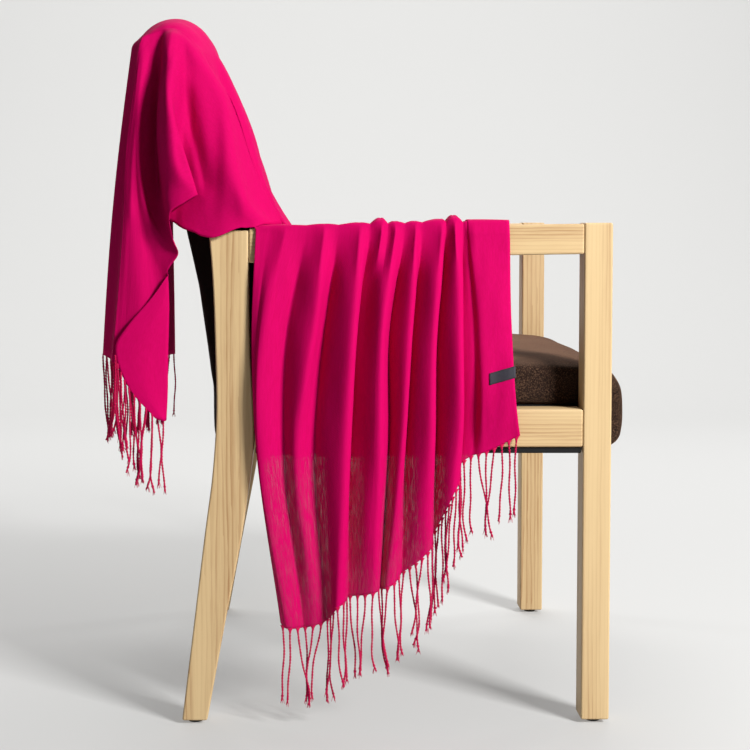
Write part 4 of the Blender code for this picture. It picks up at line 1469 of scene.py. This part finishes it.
    def build(self, arm_corner: Points) -> tuple[bpy.types.Object, dict[str, Points]]:
        """Makes the stretch.

        Args:
            arm_corner: The arm stretch's last row, on the arm's inner corner.

        Returns:
            The piece, and its cut end's hems by name.
        """
        drape, flap = self.drape_grid(), self.flap_grid()
        front, rear = self.front_grid(arm_corner), self.rear_grid()
        top = self.top_grid(front[-1], rear[0])
        cloth = ClothMesh()
        wide = DRAPE_WIDTH + (PANEL_WIDTH - DRAPE_WIDTH) * self.shares()[None, :]
        cloth.add(drape, np.linspace(DRAPE_WIDTH, 0, len(drape))[:, None],
                  np.linspace(ARM_LENGTH, PANEL_LENGTH, drape.shape[1])[None, :])
        cloth.add(flap, np.linspace(0, FLAP_WIDTH, len(flap))[:, None],
                  np.linspace(FLAP_START, PANEL_LENGTH, flap.shape[1])[None, :])
        ends = (ARM_LENGTH, FRONT_LENGTH, TOP_LENGTH, PANEL_LENGTH)
        for grid, start, end in zip((front, top, rear), ends, ends[1:]):
            cloth.add(grid, wide, np.linspace(start, end, len(grid))[:, None])
        made = cloth.build("scarf_back_stretch", self.thickness)
        hems = {"rear": rear[-1], "fold": drape[:, -1],
                "corner": flap[-1][self.flap_corner * self.per_line:]}
        return made, hems


@dataclass
class Fringe:
    """Cords twisted from the warp along one hem, in loose groups, with frayed ends.

    Each cord is two plies round a path, a small fan of threads where it leaves the hem, a knot
    near its end and a few hairs below that. wave and hook bend the path, and pull is how far
    the cords of a group are drawn towards its middle.
    """

    name: str
    node: str
    seed: int
    spacing: float = 10.8
    length: float = 108.0
    radius: float = 1.45
    twist: float = 8.0
    step: float = 1.7
    sides: int = 5
    ply_share: float = 0.58
    fan: float = 4.2
    fan_length: float = 7.0
    fan_rise: float = 1.2
    fan_thickness: float = 0.35
    fan_rows: int = 6
    fan_sides: int = 8
    knot_at: Pair = (0.93, 0.018)
    knot_swell: float = 0.5
    hairs: int = 5
    hair_spread: float = 3.2
    hair_length: Pair = (6.0, 10.0)
    hair_radius: Pair = (0.5, 0.22)
    hair_bend: float = 3.4
    hair_rows: int = 5
    groups: tuple[int, ...] = (1, 2, 3, 3, 4)
    pull: Pair = (0.55, 1.3)
    stray: float = 1.5
    bow: Pair = (2.2, 1.2)
    length_share: Pair = (0.90, 1.03)
    hem_step: float = 3.0
    sway: float = 3.0
    wave: float = 1.7
    hook: float = 7.0

    def cord(self, tubes: TubeMesh, root: Points, wide: Points, foot: Points, bow: Points,
             length: float, chance: np.random.Generator) -> None:
        """Adds one cord.

        Args:
            tubes: The mesh it goes into.
            root: The point on the hem.
            wide: The hem's direction there.
            foot: How far its end is carried sideways.
            bow: How far its middle bows out.
            length: Its length.
            chance: The seeded generator for small differences.
        """
        count = int(length / self.step)
        share = np.linspace(0, 1, count + 1)
        path = root + share[:, None] * np.array((0, 0, -length))
        path = path + foot * eased(share ** 0.9)[:, None] + bow * np.sin(np.pi * share)[:, None]
        wobble = chance.uniform(-1, 1, 3)
        path[:, 0] += self.wave * np.sin(share * 9 + 6 * wobble[0]) * share
        path[:, 0] += self.hook * wobble[2] * share ** 5
        path[:, 1] += 0.5 * self.wave * np.sin(share * 7 + 6 * wobble[1]) * share
        knot, reach = self.knot_at
        swell = 1 + self.knot_swell * np.exp(-((share - knot) / reach) ** 2)
        thin = self.radius * (0.92 + 0.08 * np.cos(share * 40 + 5 * wobble[2])) * swell
        turn = 2 * math.pi * share * length / self.twist + 3 * wobble[0]
        grow = np.clip(share * length / self.fan_length, 0.05, 1)[:, None]
        for ply in (turn, turn + math.pi):
            offset = np.stack([np.cos(ply), np.sin(ply), np.zeros_like(ply)], axis=-1)
            tubes.add(path + offset * self.ply_share * thin[:, None] * grow,
                      thin * self.ply_share, self.sides)
        fan = np.linspace(0, 1, self.fan_rows)
        drop = np.outer(fan, (0, 0, -self.fan_length))
        width = self.fan * (1 - fan) ** 1.7 + self.radius * fan
        thick = self.fan_thickness + (self.radius - self.fan_thickness) * fan
        tubes.add(root + drop + np.array((0, 0, self.fan_rise)), thick, self.fan_sides, width,
                  wide)
        self.fray(tubes, path[int(count * 0.96)], chance)

    def fray(self, tubes: TubeMesh, end: Points, chance: np.random.Generator) -> None:
        """Parts a cord's end into hairs.

        Args:
            tubes: The mesh they go into.
            end: The point they start at.
            chance: The seeded generator for small differences.
        """
        rows = self.hair_rows
        for _ in range(self.hairs):
            away = chance.uniform(-1, 1, 2) * self.hair_spread
            hair = np.array([end, end + (away[0] * 0.5, away[1] * 0.4, -self.hair_bend),
                             end + (away[0], away[1] * 0.8, -chance.uniform(*self.hair_length))])
            tubes.add(smooth([0, 1, 2], hair, np.linspace(0, 2, rows)),
                      np.linspace(*self.hair_radius, rows), 4)

    def stations(self, hem: Points) -> tuple[Points, Points]:
        """Spaces the cords along a hem.

        Args:
            hem: The points of the panel's edge.

        Returns:
            Each cord's root, and the hem's level direction there.
        """
        steps = np.linalg.norm(np.diff(hem, axis=0), axis=1)
        arc = np.concatenate([[0.0], np.cumsum(steps)])
        count = max(2, round(arc[-1] / self.spacing))
        places = (np.arange(count) + 0.5) / count * arc[-1]
        roots, ahead, behind = (
            np.stack([np.interp(at, arc, hem[:, axis]) for axis in range(3)], axis=-1)
            for at in (places, np.minimum(places + self.hem_step, arc[-1]),
                       np.maximum(places - self.hem_step, 0)))
        wide = ahead - behind
        wide[:, 2] = 0
        return roots, wide / np.linalg.norm(wide, axis=1, keepdims=True)

    def build(self, hem: Points) -> bpy.types.Object:
        """Hangs the cords from a hem.

        Args:
            hem: The points of the panel's edge.

        Returns:
            The piece.
        """
        chance = np.random.default_rng(self.seed)
        roots, wide = self.stations(hem)
        count = len(roots)
        tubes = TubeMesh()
        number = 0
        while number < count:
            size = int(chance.choice(self.groups))
            group = range(number, min(number + size, count))
            centre = roots[list(group)].mean(axis=0)
            drift = chance.uniform(-self.sway, self.sway, 2)
            for k in group:
                pull = chance.uniform(*self.pull) if len(group) > 1 else 0.0
                foot = (centre - roots[k]) * pull
                foot[2] = 0
                foot[:2] += drift + chance.uniform(-self.stray, self.stray, 2)
                bow = np.array([chance.uniform(-reach, reach) for reach in self.bow] + [0.0])
                length = self.length * chance.uniform(*self.length_share)
                self.cord(tubes, roots[k], wide[k], foot, bow, length, chance)
            number += size
        made = tubes.build(self.name)
        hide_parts(self.node)
        LOG.info("%s: %d cords, %d faces", self.name, count, len(made.data.polygons))
        return made


@dataclass
class Label:
    """The bare woven label, sewn flat near the far selvage."""

    back_end: float = 248.0
    front_end: float = 281.5
    back_height: float = 458.5
    front_height: float = 468.5
    length: float = 35.0
    width: float = 15.0
    lift: float = 1.0
    thickness: float = 0.5
    rows: int = 9
    columns: int = 21
    nearest: int = 4

    def build(self, fall: Points) -> bpy.types.Object:
        """Lays the label on the fall.

        Args:
            fall: The fall's grid.

        Returns:
            The piece.
        """
        flat = fall.reshape(-1, 3)
        grid = np.empty((self.rows, self.columns, 3))
        for row, edge in enumerate(np.linspace(-0.5, 0.5, self.rows)):
            for column, share in enumerate(np.linspace(0, 1, self.columns)):
                x = self.back_end + (self.front_end - self.back_end) * share
                z = self.back_height + (self.front_height - self.back_height) * share
                z += edge * self.width
                away = (flat[:, 0] - x) ** 2 + (flat[:, 2] - z) ** 2
                near = np.argsort(away)[:self.nearest]
                grid[row, column] = (x, flat[near, 1].mean() - self.lift, z)
        cloth = ClothMesh()
        cloth.add(grid, np.linspace(0, self.length * MM, self.columns)[None, :],
                  np.linspace(0, self.width * MM, self.rows)[:, None])
        made = cloth.build("label_tape", self.thickness)
        made.data.materials.append(WovenTape().material())
        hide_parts("label")
        return made


@dataclass
class Scarf:
    """The whole scarf: one woven panel in two stretches, its fringes and its label."""

    arm: ArmStretch = field(default_factory=ArmStretch)
    back: BackStretch = field(default_factory=BackStretch)
    fringes: tuple[Fringe, ...] = (
        Fringe("arm_end_fringe", "fringe_arm_end", 11),
        Fringe("rear_end_fringe", "fringe_rear", 23, spacing=16.0),
        Fringe("turned_fold_fringe", "fringe_fold", 31),
        Fringe("corner_fringe", "fringe_corner", 47, spacing=12.0, fan=1.8),
    )

    def build(self) -> None:
        twill, yarn = RaspberryTwill().material(), TwistedYarn().material()
        turned = len(self.arm.turn_reach) * self.arm.columns + 1
        edge = self.back.drape_line(self.back.drape[0], np.linspace(1, 0, turned))
        arm, fall = self.arm.build(edge)
        corner = self.arm.over(fall[-1], edge)[-1, turned - 1:]
        back, hems = self.back.build(corner)
        hems["arm"] = fall[0]
        for piece in (arm, back):
            piece.data.materials.append(twill)
        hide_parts("scarf_arm_fall", "scarf_over_arm")
        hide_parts("scarf_front", "scarf_near_drape", "scarf_corner_flap",
                    "scarf_back_top", "scarf_rear_fall")
        cords = [fringe.build(hems[key])
                 for fringe, key in zip(self.fringes, ("arm", "rear", "fold", "corner"))]
        for piece in cords:
            piece.data.materials.append(yarn)
        label = Label().build(fall)
        for piece in (arm, back):
            LOG.info("%s: %d faces", piece.name, len(piece.data.polygons))


# ---------------------------------------------------------------- studio

class Lamp(NamedTuple):
    """A square soft light: its place and target in scene metres, its watts and its side."""

    name: str
    at: Triple
    power: float
    size: float
    target: Triple = (0.0, 0.0, 0.45)


@dataclass
class Studio:
    """A pale floor that curves up into the wall, a key light, fills and the camera.

    The backdrop is in metres: its half width, its front end, where it starts to bend, the
    bend's radius and its top. It gives off a little light, as lit paper all round would. The
    camera's place is in the working frame's millimetres, and its angles are in degrees.
    """

    paper: str = "#9B9B9A"
    paper_light: str = "#FFFEFC"
    paper_glow: float = 0.26
    half_width: float = 2.7
    floor_front: float = -2.7
    bend_start: float = 2.6
    bend_radius: float = 1.6
    bend_steps: int = 16
    wall_top: float = 6.0
    lens_pixels: float = 1432.5
    frame_pixels: float = 750.0
    sensor: float = 36.0
    camera_at: Triple = (10.5, -1860.7, 661.2)
    turn: float = 0.387
    tilt: float = 2.511
    shift: Pair = (0.08, -0.12)
    lamps: tuple[Lamp, ...] = (
        Lamp("key", (2.05, -2.2, 2.0), 198.0, 0.8),
        Lamp("top", (0.0, 1.9, 3.4), 112.0, 2.6, (0.0, 1.7, 0.0)),
        Lamp("fill", (-2.4, -2.0, 1.4), 1.0, 1.6),
        Lamp("wall_light_left", (-2.6, 1.4, 2.2), 50.0, 1.2, (-0.6, 4.6, 1.0)),
        Lamp("wall_light_right", (2.6, 1.4, 2.2), 50.0, 1.2, (0.6, 4.6, 1.0)),
    )
    air: str = "#F4F6F8"
    air_light: float = 0.09
    air_seen: float = 0.70

    def light(self, lamp: Lamp) -> None:
        """Hangs a light.

        Args:
            lamp: What it is like and where it hangs.
        """
        data = bpy.data.lights.new(lamp.name, "AREA")
        data.energy, data.size = lamp.power, lamp.size
        made = bpy.data.objects.new(lamp.name, data)
        made.location = lamp.at
        aim = Vector(lamp.target) - Vector(lamp.at)
        made.rotation_euler = aim.to_track_quat("-Z", "Y").to_euler()
        bpy.context.scene.collection.objects.link(made)

    def backdrop(self) -> None:
        """Lays the floor and bends it up behind the chair."""
        profile = [(self.floor_front, 0.0)]
        radius = self.bend_radius
        for step in range(self.bend_steps + 1):
            turn = math.pi / 2 * step / self.bend_steps
            profile.append((self.bend_start + radius * math.sin(turn),
                            radius * (1 - math.cos(turn))))
        profile.append((self.bend_start + radius, self.wall_top))
        sides = (-self.half_width, self.half_width)
        points = [(x, y, z) for y, z in profile for x in sides]
        faces = [(2 * k, 2 * k + 1, 2 * k + 3, 2 * k + 2) for k in range(len(profile) - 1)]
        mesh = bpy.data.meshes.new("paper_backdrop")
        mesh.from_pydata(points, [], faces)
        mesh.shade_smooth()
        made = bpy.data.objects.new("paper_backdrop", mesh)
        bpy.context.scene.collection.objects.link(made)
        material, tree, output = new_material("matt_backdrop_paper")
        shader = add_node(tree, "ShaderNodeBsdfPrincipled", inputs={
            "Base Color": linear(self.paper), "Roughness": 0.9, "Specular IOR Level": 0.1,
            "Emission Color": linear(self.paper_light), "Emission Strength": self.paper_glow})
        tree.links.new(shader.outputs["BSDF"], output.inputs["Surface"])
        mesh.materials.append(material)

    def camera(self) -> None:
        """Stands the camera where the photograph was taken from."""
        lens = bpy.data.cameras.new("camera")
        lens.sensor_width = self.sensor
        lens.lens = self.lens_pixels * self.sensor / self.frame_pixels
        lens.shift_x, lens.shift_y = self.shift
        made = bpy.data.objects.new("camera", lens)
        made.location = placed(self.camera_at)
        turn, tilt = math.radians(self.turn), math.radians(self.tilt)
        aim = Vector((math.sin(turn) * math.cos(tilt), math.cos(turn) * math.cos(tilt),
                      -math.sin(tilt)))
        made.rotation_euler = aim.to_track_quat("-Z", "Y").to_euler()
        bpy.context.scene.collection.objects.link(made)
        bpy.context.scene.camera = made

    def world(self) -> None:
        """Fills the air round the stage: bright behind it, but of little light on the chair."""
        world = bpy.data.worlds.new("studio_air")
        world.use_nodes = True
        tree = world.node_tree
        background = tree.nodes["Background"]
        background.inputs["Color"].default_value = linear(self.air)
        seen = add_node(tree, "ShaderNodeLightPath").outputs["Is Camera Ray"]
        strength = add_node(tree, "ShaderNodeMix", {"data_type": "FLOAT"}, {
            0: seen, 2: self.air_light, 3: self.air_seen}).outputs[0]
        tree.links.new(strength, background.inputs["Strength"])
        bpy.context.scene.world = world

    def build(self) -> None:
        """Sets up the stage, the lights, the air and the camera."""
        view = bpy.context.scene.view_settings
        view.view_transform = "Standard"
        view.look = "None"
        self.world()
        self.backdrop()
        for lamp in self.lamps:
            self.light(lamp)
        self.camera()
        LOG.info("studio ready: %d lights", len(self.lamps))


def dress_cad_nodes(nodes: dict[str, bpy.types.Object]) -> None:
    """Gives the CAD nodes that stay in view their finishes.

    Args:
        nodes: The CAD nodes by name.
    """
    dust, glide = DUST_CLOTH.material(), GLIDE_PLASTIC.material()
    finishes = {"seat_board": dust, "dust_cover": dust}
    finishes |= {f"glide_{end}_{side}": glide for end in ("rear", "front")
                 for side in ("near", "far")}
    for name, finish in finishes.items():
        nodes[name].data.materials.clear()
        nodes[name].data.materials.append(finish)


def main() -> None:
    """Builds the scene piece by piece."""
    logging.basicConfig(level=logging.INFO, format="%(message)s")
    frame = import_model()
    Studio().build()
    pine = OiledPine()
    WOOD.update({grain: pine.material(grain) for grain in Grain})
    WoodenFrame().build()
    Cushion("seat_cushion", "seat_suede", SEAT_SUEDE).build(frame["nodes"])
    Cushion("back_cushion", "back_suede", BACK_SUEDE).build(frame["nodes"])
    dress_cad_nodes(frame["nodes"])
    Scarf().build()
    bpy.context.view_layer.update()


if __name__ == "__main__":
    main()
